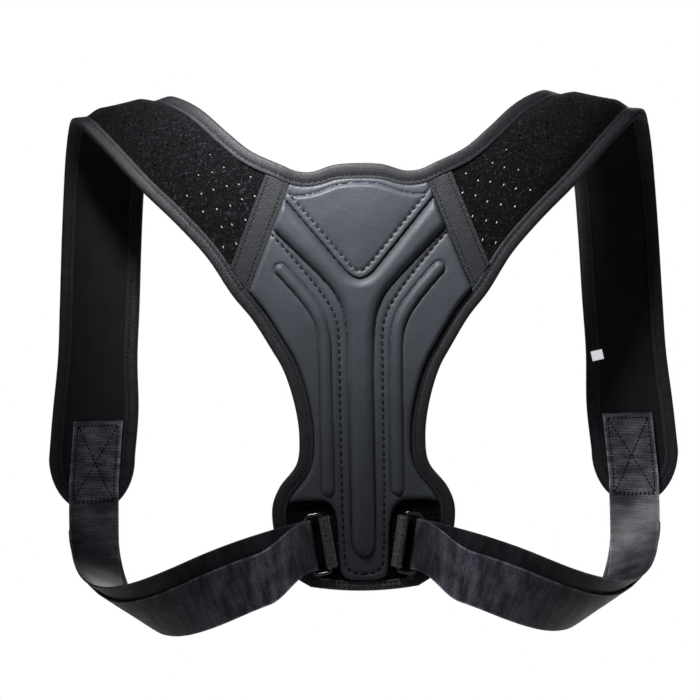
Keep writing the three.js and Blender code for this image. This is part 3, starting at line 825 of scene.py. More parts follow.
side_rib = [
    (55.3, 225.2), (41.1, 209.5), (31.4, 196.5), (26.6, 186.0), (24.6, 174.0), (24.4, 144),
    (24.1, 71),
]
wavy_top = [
    (0, 284.9), (10.4, 284.4), (17.4, 282.9), (24.4, 280.1), (31.3, 277.9), (38.3, 276.6),
    (43.2, 276.3), (48.7, 277.2), (60, 281),
]
STITCH_PITCH, STITCH_LENGTH = 5.1, 3.5
ROUND_PASSES = 2


def rounded(line):
    """Cuts the corners of a line of points, keeping its ends."""
    line = np.asarray(line, float)
    for _ in range(ROUND_PASSES):
        a, b = line[:-1] * 0.75 + line[1:] * 0.25, line[:-1] * 0.25 + line[1:] * 0.75
        line = np.vstack([line[:1], np.stack([a, b], 1).reshape(-1, line.shape[1]), line[-1:]])
    return line


sewn_v, arm_outer, sewn_outer, side_rib, wavy_top = (
    rounded(line) for line in (sewn_v, arm_outer, sewn_outer, side_rib, wavy_top)
)


def pad_outline():
    inside = binding_width + gap
    neck = inset_points(-1, np.arange(1.25 - NECK_SEAM, 0.01, 0.25), inside)
    arm = inset_points(1, -np.arange(0, ARM_SEAM + 0.01, 0.25), inside)
    arm = arm[arm[:, 1] > ring_top + 2.2 * ring_wire]
    tongue, hem = tongue_width / 2, hem_binding_width + 2 * gap
    notch = [
        (ring_fold_x + ring_width / 2, ring_top + 3.2 * ring_wire),
        (tongue * 1.5, ring_top + 3.4 * ring_wire), (tongue * 1.16, ring_top + 1.6 * ring_wire),
        (tongue, ring_top - 2 * ring_wire), (tongue * 0.93, hem + 3 * ring_wire),
        (tongue * 0.8, hem + 0.8 * ring_wire), (tongue * 0.5, hem), (0, hem),
    ]
    half = np.vstack([[[0, panel_height - inside]], neck, arm, rounded(notch)])
    return both_sides(half, seam_top - seam_out * (seam_tape_width / 2 + gap), seam_out)


# %% Heights of the pad
# all are heights above the panel or widths on it, in millimetres
FIELD, FIELD_PUFF, PUFF_REACH = 3.5, 1.1, 6.0
RIB_HALF, RIB_RISE, RIB_CREASE = 3.9, 2.3, 0.9
STRIP, STRIP_RISE, STRIP_ROUND = 3.3, 0.35, 1.6
RIDGE_FOOT, RIDGE_RISE, RIDGE_ROUND, RIDGE_POWER = 2.2, 5.8, 7.5, 1.15
LIP, LIP_DROP, LIP_WIDTH = 4.5, 2.4, 5.4
TOP_FIELD, TOP_PUFF, TOP_REACH = 4.0, 1.2, 9.0
STEP_FOOT, STEP_ROUND, STEP_CREASE, NECK_FIELD = 1.9, 3.2, 0.8, 2.1
GROOVE_DEPTH, GROOVE_HALF, SEW_DEPTH, SEW_HALF = 1.0, 0.9, 1.0, 1.1
RIM_FOOT, RIM_ROUND, RIM_LEAST = 1.1, 3.6, 0.9


def trench(distance, half):
    """1 on a line, falling softly to 0 away from it."""
    return np.exp(-((distance / half) ** 2))


def pad_heights(x, z, from_edge):
    """Height above the panel of each point of the pad's face."""
    half = np.stack([np.abs(x), z], -1)
    away_v, run_v = to_line(half, sewn_v)
    away_arm, _ = to_line(half, arm_outer)
    away_sewn, run_sewn = to_line(half, sewn_outer)
    away_rib, _ = to_line(half, side_rib)
    away_top, _ = to_line(half, wavy_top)
    v_line, top_line = (np.array(sorted(line.tolist())) for line in (sewn_v, wavy_top))
    below_v = z < np.interp(half[:, 0], v_line[:, 0], v_line[:, 1])
    above_top = z > np.interp(half[:, 0], top_line[:, 0], top_line[:, 1])

    def inside_of(line):
        line = line[::-1]
        return (half[:, 0] < np.interp(z, line[:, 1], line[:, 0])) & (z > line[0, 1])

    in_arm, in_sewn = inside_of(arm_outer), inside_of(sewn_outer)
    # the field outside the ridge, with the slim rib on it
    height = FIELD + FIELD_PUFF * (1 - np.exp(-np.minimum(away_sewn, 30) / PUFF_REACH))
    dome = np.clip(1 - (away_rib / RIB_HALF) ** 2, 0, 1)
    height = height + RIB_RISE * np.sqrt(dome) - RIB_CREASE * trench(away_rib - 4.5, 0.7)
    # the sewn strip between field and ridge, the ridge and its lip along the V
    strip = STRIP + STRIP_RISE * bulge(away_sewn, STRIP_ROUND)
    height = np.where(in_sewn & ~in_arm, strip, height)
    past_v = np.where(below_v, away_v, -away_v)
    in_ridge = np.minimum(np.where(in_arm, away_arm, -away_arm), past_v - LIP_WIDTH)
    ridge = RIDGE_FOOT + RIDGE_RISE * bulge(in_ridge, RIDGE_ROUND) ** RIDGE_POWER
    height = np.where(in_arm & below_v & (in_ridge > 0), ridge, height)
    lip = LIP - LIP_DROP * ramp(past_v, LIP_WIDTH - 1.2, LIP_WIDTH - 0.3)
    height = np.where(below_v & in_arm & (past_v <= LIP_WIDTH), lip, height)
    # the triangle inside the V, and the wavy step under the neck
    upper = TOP_FIELD + TOP_PUFF * (1 - np.exp(-away_v / TOP_REACH))
    step = STEP_FOOT + (upper - STEP_FOOT) * bulge(away_top, STEP_ROUND)
    height = np.where(~below_v, np.minimum(upper, step), height)
    height = np.where(above_top & ~below_v, NECK_FIELD, height)
    height = height - STEP_CREASE * trench(away_top, 0.75) * (~below_v | above_top)
    # grooves beside the ridge and under the stitches
    groove = trench(away_arm + 0.2, GROOVE_HALF) * (below_v & (past_v > LIP_WIDTH))
    height = height - GROOVE_DEPTH * groove
    for away, run in ((away_v, run_v), (away_sewn, run_sewn)):
        pull = 0.45 + 0.55 * ramp(np.cos(2 * math.pi * run / STITCH_PITCH), -0.7, 0.1)
        height = height - SEW_DEPTH * trench(away, SEW_HALF) * pull
    height = height + 0.10 * ripple(x, z, 23) + 0.05 * ripple(z, x, 8)
    rim = bulge(from_edge, RIM_ROUND)
    return np.maximum(RIM_FOOT + (height - RIM_FOOT) * rim, RIM_LEAST)


# %% Pad
outline = pad_outline()
pad, points, border = trimmed_grid("pad_cover", outline, 0.85)
closed = np.vstack([outline, outline[:1]])
from_edge, _ = to_line(points[:, [0, 2]], closed)
points[:, 1] = pad_back - pad_heights(points[:, 0], points[:, 2], from_edge)
write_points(pad.data, points)
select(pad, vertices=border)
bpy.ops.mesh.extrude_edges_move()
done()
moved = got(pad.data.vertices, "select", kind=bool)
points = read_points(pad.data) / MM - ORIGIN
points[moved, 1] = pad_back
write_points(pad.data, points)
select(pad, vertices=moved)
bpy.ops.mesh.edge_face_add()
face_outward()
done()
smooth(pad, 60)
finish(pad, pad_leather, "pad_leather", "back_pad")

# %% [markdown]
# ## Shoulder straps
#
# Each strap is two layers: brushed loop fabric punched with ventilation holes outside, smooth
# lining inside. Both are ruled between the neck edge and the arm edge, so they arch and twist
# over the shoulder together, and their foam crowns them at the top. The holes are cut the way a
# punch does it: the grid point at a hole is bevelled into a small round face, and that face is
# deleted.


# %% Strap surface
# the crown rises and falls between these stations, and starts this far from either side
STRAP_CROWN, CROWN_RISE, CROWN_FALL, CROWN_SIDE = 6.0, (0.6, 4.0), (6.5, 10.5), (6, 21)
ROUND_STOP = 0.985


def strap_place(offset, nap):
    round_end = STRAIGHT + np.linspace(0.01, 1, 80)
    stations = np.concatenate([np.linspace(0, STRAIGHT, 1200), round_end])
    run = run_of((edge(-1, stations) + edge(1, stations)) / 2)

    def place(u, v):
        s = np.interp(v * run[-1], run, stations)
        s = np.minimum(s, STRAIGHT + ROUND_STOP)
        neck, arm = edge(-1, s, edge_inset), edge(1, s, edge_inset)
        across = arm - neck
        width = np.linalg.norm(across, axis=1)
        margin = np.where(s > STRAIGHT, 0, edge_inset / width)
        share = margin + u * (1 - 2 * margin)
        out = outward(-1, s) * (1 - share[:, None]) + outward(1, s) * share[:, None]
        lengths = np.stack([(share - 0.5) * width, v * run[-1]], -1)
        crown = STRAP_CROWN * ramp(s, *CROWN_RISE) * (1 - ramp(s, *CROWN_FALL))
        from_side = np.minimum(share, 1 - share) * width
        lift = offset + crown * ramp(from_side, *CROWN_SIDE)
        lift = lift + nap * ripple(lengths[:, 0], lengths[:, 1], 7)
        points = neck + across * share[:, None] + unit(out) * lift[:, None]
        return points, lengths

    return place, run[-1]


HOLE_START, HOLE_ROW, HOLE_PITCH, HOLE_RADIUS, HOLE_EDGE = 12.0, 7.9, 17.2, 1.5, 14.0


def punch(piece, lengths, last):
    """Cuts the staggered ventilation holes as far along the strap as last."""
    width = np.abs(lengths[:, 0]).max()
    chosen = np.zeros(len(lengths), bool)
    rows = np.arange(HOLE_START, last, HOLE_ROW)
    for k, row in enumerate(rows):
        near = np.abs(lengths[:, 1] - row) < HOLE_ROW / 2
        half = np.abs(lengths[near, 0]).max() - HOLE_EDGE
        start = (k % 2) * HOLE_PITCH / 2 - HOLE_PITCH * math.ceil(width / HOLE_PITCH)
        for column in np.arange(start, half, HOLE_PITCH):
            if abs(column) > half:
                continue
            away = (lengths[:, 0] - column) ** 2 + (lengths[:, 1] - row) ** 2
            chosen[np.argmin(away)] = True
    select(piece, vertices=chosen)
    bpy.ops.mesh.bevel(
        offset=HOLE_RADIUS * MM, offset_type="OFFSET", affect="VERTICES", segments=2
    )
    bpy.ops.mesh.delete(type="FACE")
    done()
    return int(chosen.sum())


# %% Strap fabric and lining
_, strap_length = strap_place(0.0, 0.0)
print("strap length", round(strap_length), "mm")
FOAM_UP, FOAM_THICK, LINING_UP, LINING_THICK = 0.65, 1.9, -1.1, 0.9
FOAM_HOLES, LINING_HOLES = strap_length - 14, 66.0
for kind, offset, thickness, holes_to, paint, slot, node in (
    ("strap_foam", FOAM_UP, FOAM_THICK, FOAM_HOLES, loop_cloth, "loop_fabric", "shoulder_strap"),
    ("inner_lining", LINING_UP, LINING_THICK, LINING_HOLES, lining_cloth, "lining_cloth",
     "strap_lining"),
):
    place, strap_length = strap_place(offset, 0.05)
    strap = cloth_grid(f"{kind}_right", 34, 280, place)
    lengths = read_lengths(strap.data)
    holes = punch(strap, lengths, holes_to)
    made_of_cloth(strap, thickness, STIFF)
    for piece in finish_pair(strap, paint, slot, node):
        if kind == "strap_foam":
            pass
        else:
            side = piece.name.split("_")[-1]
    print(kind, "length", round(strap_length), "mm, holes", holes)

# %% [markdown]
# ## Edge binding
#
# The raw edges are wrapped in ribbed tape, folded over and sewn. Its ribs are about 1.35 mm
# apart, so a bump would do from afar, but the silhouette shows them. The tape is one grid: along
# it run a few rows to each rib, and across it go the points of its folded section.


# %% Binding path
NECK_START = NECK_SEAM - 1
RIM_TURN = NECK_START + STRAIGHT + 1
RIM_END = RIM_TURN + STRAIGHT + 1 + ARM_SEAM


def rim(r):
    """The rim at r: 0 is the middle of the neck, and it rises round the strap end to the hem."""
    neck_side = r < RIM_TURN
    s = np.where(neck_side, r - NECK_START, RIM_TURN + STRAIGHT + 1 - r)
    side = neck_side[:, None]
    at = np.where(side, edge(-1, s), edge(1, s))
    along = np.where(side, edge_way(-1, s), -edge_way(1, s))
    out = np.where(side, outward(-1, s), outward(1, s))
    inward = unit(np.cross(along, out))
    return at, along, out, inward


rim_r = np.linspace(0, RIM_END, 6000)
rim_run = run_of(rim(rim_r)[0])
rim_length = rim_run[-1]
print("binding length each side", round(rim_length), "mm")

RIB_HEIGHT, RIB_SLANT = 0.26, 0.22
# the tape is wider and thicker by the middle of the neck
HUMP_WIDE, HUMP_LIFT, HUMP_REACH = 2.0, 0.9, 30.0
HEM_TURN = 8.0
# share of the width inward, outward distance, and how much the ribs show there
fold_section = [
    (1.0, -1.8, 0), (1.0, -2.45, 0.2), (0.72, -2.8, 1), (0.3, -3.1, 1), (0.06, -2.7, 1),
    (0.0, -1.6, 1), (-0.02, 0, 1), (0.0, 1.6, 1), (0.06, 2.7, 1), (0.2, 3.05, 1),
    (0.45, 3.1, 1), (0.62, 2.95, 0.7), (0.70, 2.62, 0.1), (0.78, 2.85, 0.7), (0.90, 2.8, 0.5),
    (0.96, 2.75, 0), (1.0, 2.45, 0), (0.985, 1.8, 0), (0.13, 1.7, 0), (0.12, -1.7, 0),
]
LOOP = len(fold_section)
section = np.array(fold_section + fold_section[:1])


def binding_place(length, frames, width):
    folded = run_of(section[:, :2] * [width, 1])

    def place(u, v):
        k = np.clip(np.rint(u * LOOP), 0, LOOP).astype(int)
        at, out, inward, wide, lift, run = frames(v * length)
        reach = section[k, 0] * (width + wide)
        height = section[k, 1] * np.where(section[k, 1] > 0, 1 + lift / 3, 1)
        slant = RIB_SLANT * reach
        wave = rib_wave(run + slant, BINDING_RIB)
        jitter = 1 + 0.25 * ripple(run, reach * 3, 11)
        rib_out = section[k, 2] * RIB_HEIGHT * wave * jitter
        fold = np.abs(section[k, 0]) < 0.05
        reach = reach - np.where(fold, rib_out, 0)
        height = height + np.sign(section[k, 1]) * np.where(fold, 0, rib_out)
        points = at + inward * reach[:, None] + out * height[:, None]
        return points, np.stack([folded[k], run + slant], -1)

    return place


def rim_frames(run):
    r = np.interp(run, rim_run, rim_r)
    at, along, out, inward = rim(r)
    start = np.clip(run / 3.0, 0, 1)[:, None]
    inward = unit(inward * start - np.array(UPWARD) * (1 - start))
    at[:, 0] = np.maximum(at[:, 0], 0.0)
    # past its end the tape turns the corner and runs on along the hem
    past = np.maximum(run - rim_length, 0)
    hem_x = hem_width / 2 - past
    on_hem = np.stack([hem_x, 0 * run, hem_arc(hem_x)], -1)
    at = np.where(past[:, None] > 0, on_hem, at)
    turned = ramp(run, rim_length - 4, rim_length + 3)[:, None]
    inward = unit(inward * (1 - turned) + np.array(UPWARD) * turned)
    hump = np.exp(-((run / HUMP_REACH) ** 2))
    return at, out, inward, HUMP_WIDE * hump, HUMP_LIFT * hump, run


def closed_tape(name, rows, place):
    tape_piece = cloth_grid(name, LOOP, rows, place)
    select_everything(tape_piece)
    bpy.ops.mesh.remove_doubles(threshold=0.001 * MM)
    bpy.ops.mesh.select_all(action="DESELECT")
    bpy.ops.mesh.select_non_manifold()
    bpy.ops.mesh.fill_holes(sides=0)
    face_outward()
    done()
    smooth(tape_piece, PLIANT)
    return tape_piece


EDGE_ROWS, HEM_ROWS = 4, 6
tape_length = rim_length + HEM_TURN
place = binding_place(tape_length, rim_frames, binding_width)
binding = closed_tape("edge_tape_right", int(tape_length / BINDING_RIB * EDGE_ROWS), place)
finish_pair(binding, binding_cloth, "binding_tape", "edge_binding", "side_binding")


# %% Hem binding
def hem_frames(run):
    x = hem_binding_length / 2 - run
    at = np.stack([x, 0 * x, hem_arc(x)], -1)
    return at, rows_of(BACKWARD, len(x)), rows_of(UPWARD, len(x)), 0 * x, 0 * x, run


place = binding_place(hem_binding_length, hem_frames, hem_binding_width)
hem = closed_tape("hem_tape", int(hem_binding_length / BINDING_RIB * HEM_ROWS), place)
finish(hem, hem_cloth_painted_lighter, "binding_tape", "hem_binding")

# %% [markdown]
# ## Seam tapes
#
# A band of ribbed tape covers the seam between panel and strap. Its ribs lie across it, and its
# two selvedges are a little flatter. A grid between the seam's ends, thickened, is all it takes.


# %% Seam tapes
SEAM_HEIGHT, SEAM_EDGE, SEAM_DIP = 0.19, 0.07, 0.16


def seam_corner(side, aside, inside):
    start = seam_top if side < 0 else seam_low
    inward = inset_points(side, np.array([0.0]), 1.0)[0] - start
    way = seam_along * -side
    reach = (inside - aside * (seam_out @ inward)) / (way @ inward)
    return start + way * reach + seam_out * aside


def seam_place(u, v):
    aside = (u - 0.5) * seam_tape_width
    inside = binding_width + 0.4
    top = np.array([seam_corner(-1, a, inside) for a in (-1.0, 1.0)])
    low = np.array([seam_corner(1, a, inside) for a in (-1.0, 1.0)])
    share = ((aside + 1) / 2)[:, None]
    first, last = (pair[0] * (1 - share) + pair[1] * share for pair in (top, low))
    at = first + (last - first) * v[:, None]
    run = at @ seam_along
    selvedge = 1 - 0.75 * ramp(np.abs(aside), seam_tape_width / 2 - 3.2, seam_tape_width / 2 - 2.4)
    wave = rib_wave(run, SEAM_RIB)
    edge_wave = SEAM_EDGE * np.sin(2 * math.pi * run / 2.1 + aside * 1.3)
    stitched = SEAM_DIP * trench(np.abs(aside) - seam_tape_width / 2 + 2.9, 0.5)
    lift = SEAM_HEIGHT * wave * selvedge + edge_wave * (1 - selvedge) - stitched
    y = pad_back - tape / 2 - 0.1 - lift
    return np.stack([at[:, 0], y, at[:, 1]], -1), np.stack([aside, run], -1)


seam = cloth_grid("seam_cover_right", 28, 300, seam_place)
made_of_cloth(seam, tape * 0.8)
finish_pair(seam, seam_cloth, "seam_tape", "seam_tape")

# %% [markdown]
# ## Webbing
#
# One length of nylon webbing is sewn behind the front strap, turns back under the arm, folds
# round the ring's outer bar and lies on itself. A strap that turns in space without creasing is
# part of a cylinder whose axis slopes, so the ribbon is laid on that cylinder and its two flat
# tangents. The slope is found by halving: it is the one that sends the ribbon to the ring.

# %% Webbing surface
web_thick, layer_gap, patch_length = 1.6, 0.8, 48.0
tail_drop, tail_stop, tail_return = 13.0, 35.0, 95.0
ring_tilt, ring_corner, ring_pinch = math.radians(9), 4.0, 0.05
web_near = -binding_half - gap - web_thick / 2
web_far = worn_depth - binding_half - gap - web_thick / 2
turn_radius = (web_far - web_near) / 2
turn_start = np.array([end_x - 1.7, end_z + 21.4])
RING_BEND, BEND_LENGTH, HALVINGS = 6.4, 80.0, 40
WEB_HEIGHT, TAB_HEIGHT = 0.15, 0.16
fold_point = np.array([ring_fold_x, ring_fold_z])


def near_start(slope):
    reach = math.pi * turn_radius * math.tan(slope)
    return turn_start - np.array([math.cos(slope), math.sin(slope)]) * reach


low, high = 0.3, 0.75
for _ in range(HALVINGS):
    slope = (low + high) / 2
    way = np.array([-math.sin(2 * slope), math.cos(2 * slope)])
    miss = fold_point + [0, RING_BEND] - near_start(slope)
    low, high = (slope, high) if miss[0] * way[1] - miss[1] * way[0] < 0 else (low, slope)
slope = (low + high) / 2
near_length = float(np.hypot(*(near_start(slope) - fold_point)))
web_end = math.pi * turn_radius / math.cos(slope) + near_length
wire_clear = ring_wire / 2 + 1.4 * gap + web_thick / 2
bar_angle = 2 * slope + ring_tilt
bend_rate = 2 * RING_BEND / BEND_LENGTH
fold_skew = math.cos(bar_angle) / (math.sin(bar_angle) + bend_rate * math.cos(bar_angle))
print("webbing slope", round(math.degrees(slope), 2), "length to the ring", round(web_end, 1))


def web_point(along, across, lift):
    along, across = np.broadcast_arrays(np.asarray(along, float), np.asarray(across, float))
    bent = np.maximum(along - (web_end - BEND_LENGTH), 0) / BEND_LENGTH
    leaned = across - RING_BEND * bent**2 + 0.09 * np.minimum(along, 0)
    h = along * math.sin(slope) - leaned * math.cos(slope)
    w = along * math.cos(slope) + leaned * math.sin(slope)
    turn = np.clip(w / turn_radius, 0, math.pi)
    past = np.where(w < 0, w, np.minimum(math.pi * turn_radius - w, 0))
    b = past + (turn_radius + lift) * np.sin(turn)
    x = turn_start[0] - h * math.cos(slope) + b * math.sin(slope)
    y = web_near + turn_radius + (turn_radius + lift) * np.cos(turn)
    z = turn_start[1] - h * math.sin(slope) - b * math.cos(slope)
    return np.stack([x, y, z], -1)


def gathered(along, across, lift, drop=0.0):
    near = ramp(along, web_end - BEND_LENGTH, web_end)
    narrow = across * (1 - ring_pinch * near)
    return web_point(along + fold_skew * narrow * near, narrow - drop, lift)


first_run = patch_length + web_end
fold_run = math.pi * wire_clear
web_total = first_run + fold_run + web_end - tail_stop


def web_layer(run, across):
    """The middle of the ribbon at a length along it, from the patch to the end of the tail."""
    along = np.minimum(run - patch_length, web_end)
    main = gathered(along, across, 0 * along)
    angle = np.clip((run - first_run) / wire_clear, 0, math.pi)
    bar = gathered(np.full_like(run, web_end), across, np.full_like(run, wire_clear))
    bar[:, 1] += wire_clear * np.cos(angle)
    way = np.array([-math.cos(ring_tilt), 0, math.sin(ring_tilt)])
    bar = bar + way * (wire_clear * np.sin(angle))[:, None]
    back = web_end - np.maximum(run - first_run - fold_run, 0)
    away = web_end - back
    lift = 2 * wire_clear + (web_thick + layer_gap - 2 * wire_clear) * ramp(away, 0, 28)
    drop = tail_drop * ramp(away, 0, 40) * ramp(back, tail_stop, tail_stop + tail_return)
    tail = gathered(back, across, lift, drop)
    on_fold = ((run > first_run) & (run < first_run + fold_run))[:, None]
    return np.where(on_fold, bar, np.where((run >= first_run + fold_run)[:, None], tail, main))


def web_place(u, v):
    run = v * web_total
    across = (u - 0.5) * (webbing_width - 0.3)
    middle = web_layer(run, across)
    step = 0.6
    ahead = web_layer(np.minimum(run + step, web_total), across)
    behind = web_layer(np.maximum(run - step, 0), across)
    aside_to = web_layer(run, across + step)
    normal = unit(np.cross(aside_to - middle, ahead - behind))
    selvedge = ramp(np.abs(across), webbing_width / 2 - 2.2, webbing_width / 2 - 1.2)
    wave = rib_wave(run + 0.06 * across, WEB_RIB)
    lift = WEB_HEIGHT * wave * (1 - 0.6 * selvedge) + 0.12 * ripple(run, across, 31)
    return middle + normal * lift[:, None], np.stack([across, run], -1)


# %% Webbing
webbing = cloth_grid("webbing_strap_right", 14, int(web_total / WEB_RIB * 3.0), web_place)
made_of_cloth(webbing, web_thick - 0.25)
finish_pair(webbing, webbing_cloth, "webbing", "webbing")
print("webbing is", round(web_total), "mm long each side")

# %% [markdown]
# ## Rings and their tabs
#
# The ring is a bent wire, a rounded rectangle tilted a little. A torus primitive already is a
# closed wire, so its points are moved from the circle to the rectangle. The tab is a short piece
# of webbing looped round the inner bar and sewn to the panel.

# %% Rings
bar_at = web_point(web_end, 0.0, wire_clear)
half_w, half_h = (ring_width - ring_wire) / 2, (ring_height - ring_wire) / 2
corner_r = ring_corner - ring_wire / 2


def tilted(x, y, z):
    px = bar_at[0] + x * math.cos(ring_tilt) + z * math.sin(ring_tilt)
    pz = bar_at[2] - x * math.sin(ring_tilt) + z * math.cos(ring_tilt)
    return np.stack([px, bar_at[1] + y, pz], -1)


arc = np.linspace(0, math.pi / 2, 9)
path = []
for cx, cz, start in (
    (half_w - corner_r, half_h - corner_r, 0.0), (corner_r - half_w, half_h - corner_r, 0.5),
    (corner_r - half_w, corner_r - half_h, 1.0), (half_w - corner_r, corner_r - half_h, 1.5),
):
    angle = arc + start * math.pi
    path += list(zip(cx + corner_r * np.cos(angle), cz + corner_r * np.sin(angle)))
path = np.array(path + path[:1])
path_run = run_of(path)

bpy.ops.object.select_all(action="DESELECT")
bpy.ops.mesh.primitive_torus_add(
    major_segments=120, minor_segments=20, major_radius=1.0, minor_radius=0.5
)
ring = bpy.context.object
ring.name = ring.data.name = "wire_ring_right"
p = read_points(ring.data)
share = (np.arctan2(p[:, 1], p[:, 0]) / (2 * math.pi)) % 1 * path_run[-1]
at = on_line(share, path_run, path)
way = unit(on_line((share + 0.2) % path_run[-1], path_run, path) - at)
reach = (np.hypot(p[:, 0], p[:, 1]) - 1) * ring_wire
x, z = at[:, 0] + way[:, 1] * reach - half_w, at[:, 1] - way[:, 0] * reach
write_points(ring.data, tilted(x, -p[:, 2] * ring_wire, z))
tidy_normals(ring)
smooth(ring, PLIANT)
finish_pair(ring, ring_paint, "ring_metal", "ring")

# %% Ring tabs
tab_thick, tab_tail = 1.1, 3.0
tab_rim = ring_wire / 2 + gap + tab_thick / 2
tab_floor = pad_back - bar_at[1]
inner_bar = -2 * half_w
tab_length = ring_height - 2 * ring_corner
turn = np.linspace(-0.62 * math.pi, 0.5 * math.pi, 30)
tab_end = -tab_rim - tab_tail
loop_path = [
    (tab_end, tab_floor - 1.7 * tab_thick), (-tab_rim - 1.2, tab_floor - 2.3 * tab_thick),
    *zip(tab_rim * np.cos(turn), tab_rim * np.sin(turn)),
    (-0.5 * tab_rim, tab_floor - tab_thick / 2), (tab_end, tab_floor - tab_thick / 2),
]
loop_path = resampled(loop_path, 0.2)
loop_run = run_of(loop_path)


def tab_place(u, v):
    run = v * loop_run[-1]
    at, ahead = (on_line(run + d, loop_run, loop_path) for d in (-0.15, 0.15))
    way = unit(ahead - at)
    wave = rib_wave(run, WEB_RIB)
    side = (u - 0.5) * tab_length
    lift = TAB_HEIGHT * wave + 0.08 * np.sin(2 * math.pi * side / 1.3 + 2 * run) - 0.1
    at = (at + ahead) / 2
    x, y = at[:, 0] + way[:, 1] * lift, at[:, 1] - way[:, 0] * lift
    return tilted(x + inner_bar, y, side), np.stack([side, run], -1)


tab = cloth_grid("ring_tab_right_loop", 40, len(loop_path), tab_place)
made_of_cloth(tab, tab_thick * 0.8)
finish_pair(tab, tab_cloth, "tab_webbing", "ring_tab")

# %% [markdown]
# ## Label
#
# A small blank woven label is caught in the right strap's inner binding. It is a grid that
# curls a little at its free end.

# %% Label
label_width, label_height, label_tilt = 8.7, 7.4, math.radians(12)
label_drop, label_inset = 192.0, 8.0
label_edge = edge(-1, np.array([STRAIGHT - 2.0]))[0]


def label_place(u, v):
    x, z = (u - 0.5) * label_width, (v - 0.5) * label_height
    curl = 0.5 * np.clip(u - 0.4, 0, 1) ** 2 + 0.05 * np.sin(6 * v)
    px = label_edge[0] + label_inset + x * math.cos(label_tilt) - z * math.sin(label_tilt)
    pz = crest_height - label_drop + x * math.sin(label_tilt) + z * math.cos(label_tilt)
    y = worn_depth - binding_half - gap - 0.25 - curl
    return np.stack([px, y, pz], -1), np.stack([x, z], -1)


label = cloth_grid("woven_label", 24, 20, label_place)
thicken(label, 0.4)
modified(label, "BEVEL", width=0.1 * MM, segments=2, limit_method="ANGLE")
tidy_normals(label)
smooth(label, STIFF)
finish(label, label_cloth, "label_cloth", "label")

# %% [markdown]
# ## Stitching
#
# A sewn line is the same short arch of thread over and over. One stitch is modelled from a
# sphere primitive, stretched, with its ends bent down into the cloth, and its few dozen faces
# are copied along each line of sewing. Lines that belong together become one piece.

# %% One stitch
bpy.ops.object.select_all(action="DESELECT")
bpy.ops.mesh.primitive_uv_sphere_add(segments=6, ring_count=6, radius=1.0)
stitch = bpy.context.object
only(stitch)
bpy.ops.object.mode_set(mode="EDIT")
bpy.ops.mesh.quads_convert_to_tris(quad_method="BEAUTY", ngon_method="BEAUTY")
done()
one_stitch = read_points(stitch.data)[:, [2, 0, 1]]
one_faces = corners_of(stitch.data).reshape(-1, 3)
bpy.data.objects.remove(stitch)
one_stitch[:, 2] -= 0.6 * one_stitch[:, 0] ** 2
print("a stitch has", len(one_faces), "faces")


def sew(name, rows, slot, thick):
    """Copies the stitch along rows of (places, ways, outs, length)."""
    verts, faces, count = [], [], 0
    for at, way, out, length in rows:
        side = unit(np.cross(out, way))
        axes = np.stack([way, side, out], 1)
        size = one_stitch * [length / 2, thick, thick]
        verts.append((at[:, None] + size @ axes).reshape(-1, 3))
        steps = (np.arange(len(at)) + count)[:, None, None] * len(one_stitch)
        faces.append((one_faces[None] + steps).reshape(-1, 3))
        count += len(at)
    mesh = bpy.data.meshes.new(name)
    points = (np.vstack(verts) + ORIGIN) * MM
    mesh.from_pydata(points.tolist(), [], np.vstack(faces).tolist())
    piece = placed(name, mesh)
    tidy_normals(piece)
    smooth(piece, PLIANT)
    finish(piece, dark_thread, slot)


def flat_row(places, length, side=1):
    """A row of stitches on a face that looks backward, on the right side (1) or the left (-1)."""
    places = places * [side, 1, 1]
    return places, unit(np.gradient(places, axis=0)), rows_of(BACKWARD, len(places)), length


THIN_THREAD, WEB_THREAD, PAD_THREAD = 0.34, 0.55, 0.62

# %% Stitches on the pad
SEWN_TOP, SEWN_EDGE, STITCH_RISE = 279.0, 2.0, 0.62
pad_rows = []
for line in (sewn_v, sewn_outer):
    fine = resampled(line, STITCH_PITCH / 16)
    fine = fine[fine[:, 1] < SEWN_TOP]
    run_start, run_stop = to_line(fine[[0, -1]], line)[1]
    count = int((run_stop - run_start) / STITCH_PITCH)
    lengths = run_of(line)
    runs = (math.ceil(run_start / STITCH_PITCH) + np.arange(count + 1)) * STITCH_PITCH
    runs = runs[runs < lengths[-1] - 0.5]
    at = on_line(runs, lengths, line)
    step = on_line(runs + 0.6, lengths, line) - at
    away, _ = to_line(at, closed)
    keep = within(at, outline) & (away > SEWN_EDGE)
    at, step, away = at[keep], step[keep], away[keep]
    height = pad_heights(at[:, 0], at[:, 1], away) + STITCH_RISE
    for side in (1, -1):
        places = np.stack([side * at[:, 0], pad_back - height, at[:, 1]], -1)
        way = unit(np.stack([side * step[:, 0], 0 * height, step[:, 1]], -1))
        pad_rows.append((places, way, rows_of(BACKWARD, len(at)), STITCH_LENGTH))
sew("pad_stitches", pad_rows, "pad_leather", PAD_THREAD)

# %% Stitches on the bindings
BIND_PITCH, BIND_LENGTH, BIND_REACH = 3.4, 2.5, 0.70
for side, word in ((1, "right"), (-1, "left")):
    runs = np.arange(1.8, rim_length - 2, BIND_PITCH)
    at, out, inward, wide, lift, _ = rim_frames(runs)
    flip = [side, 1, 1]
    rows = []
    for face, height in ((1, 2.78), (-1, 2.95)):
        reach = BIND_REACH * (binding_width + wide)
        rise = height * (1 + lift / 3 * (face > 0))
        places = at + inward * reach[:, None] + out * (face * rise)[:, None]
        ways = unit(np.gradient(places, axis=0))
        rows.append((places * flip, ways * flip, out * face * flip, BIND_LENGTH))
    sew(f"binding_stitches_{word}", rows, "binding_tape", THIN_THREAD)

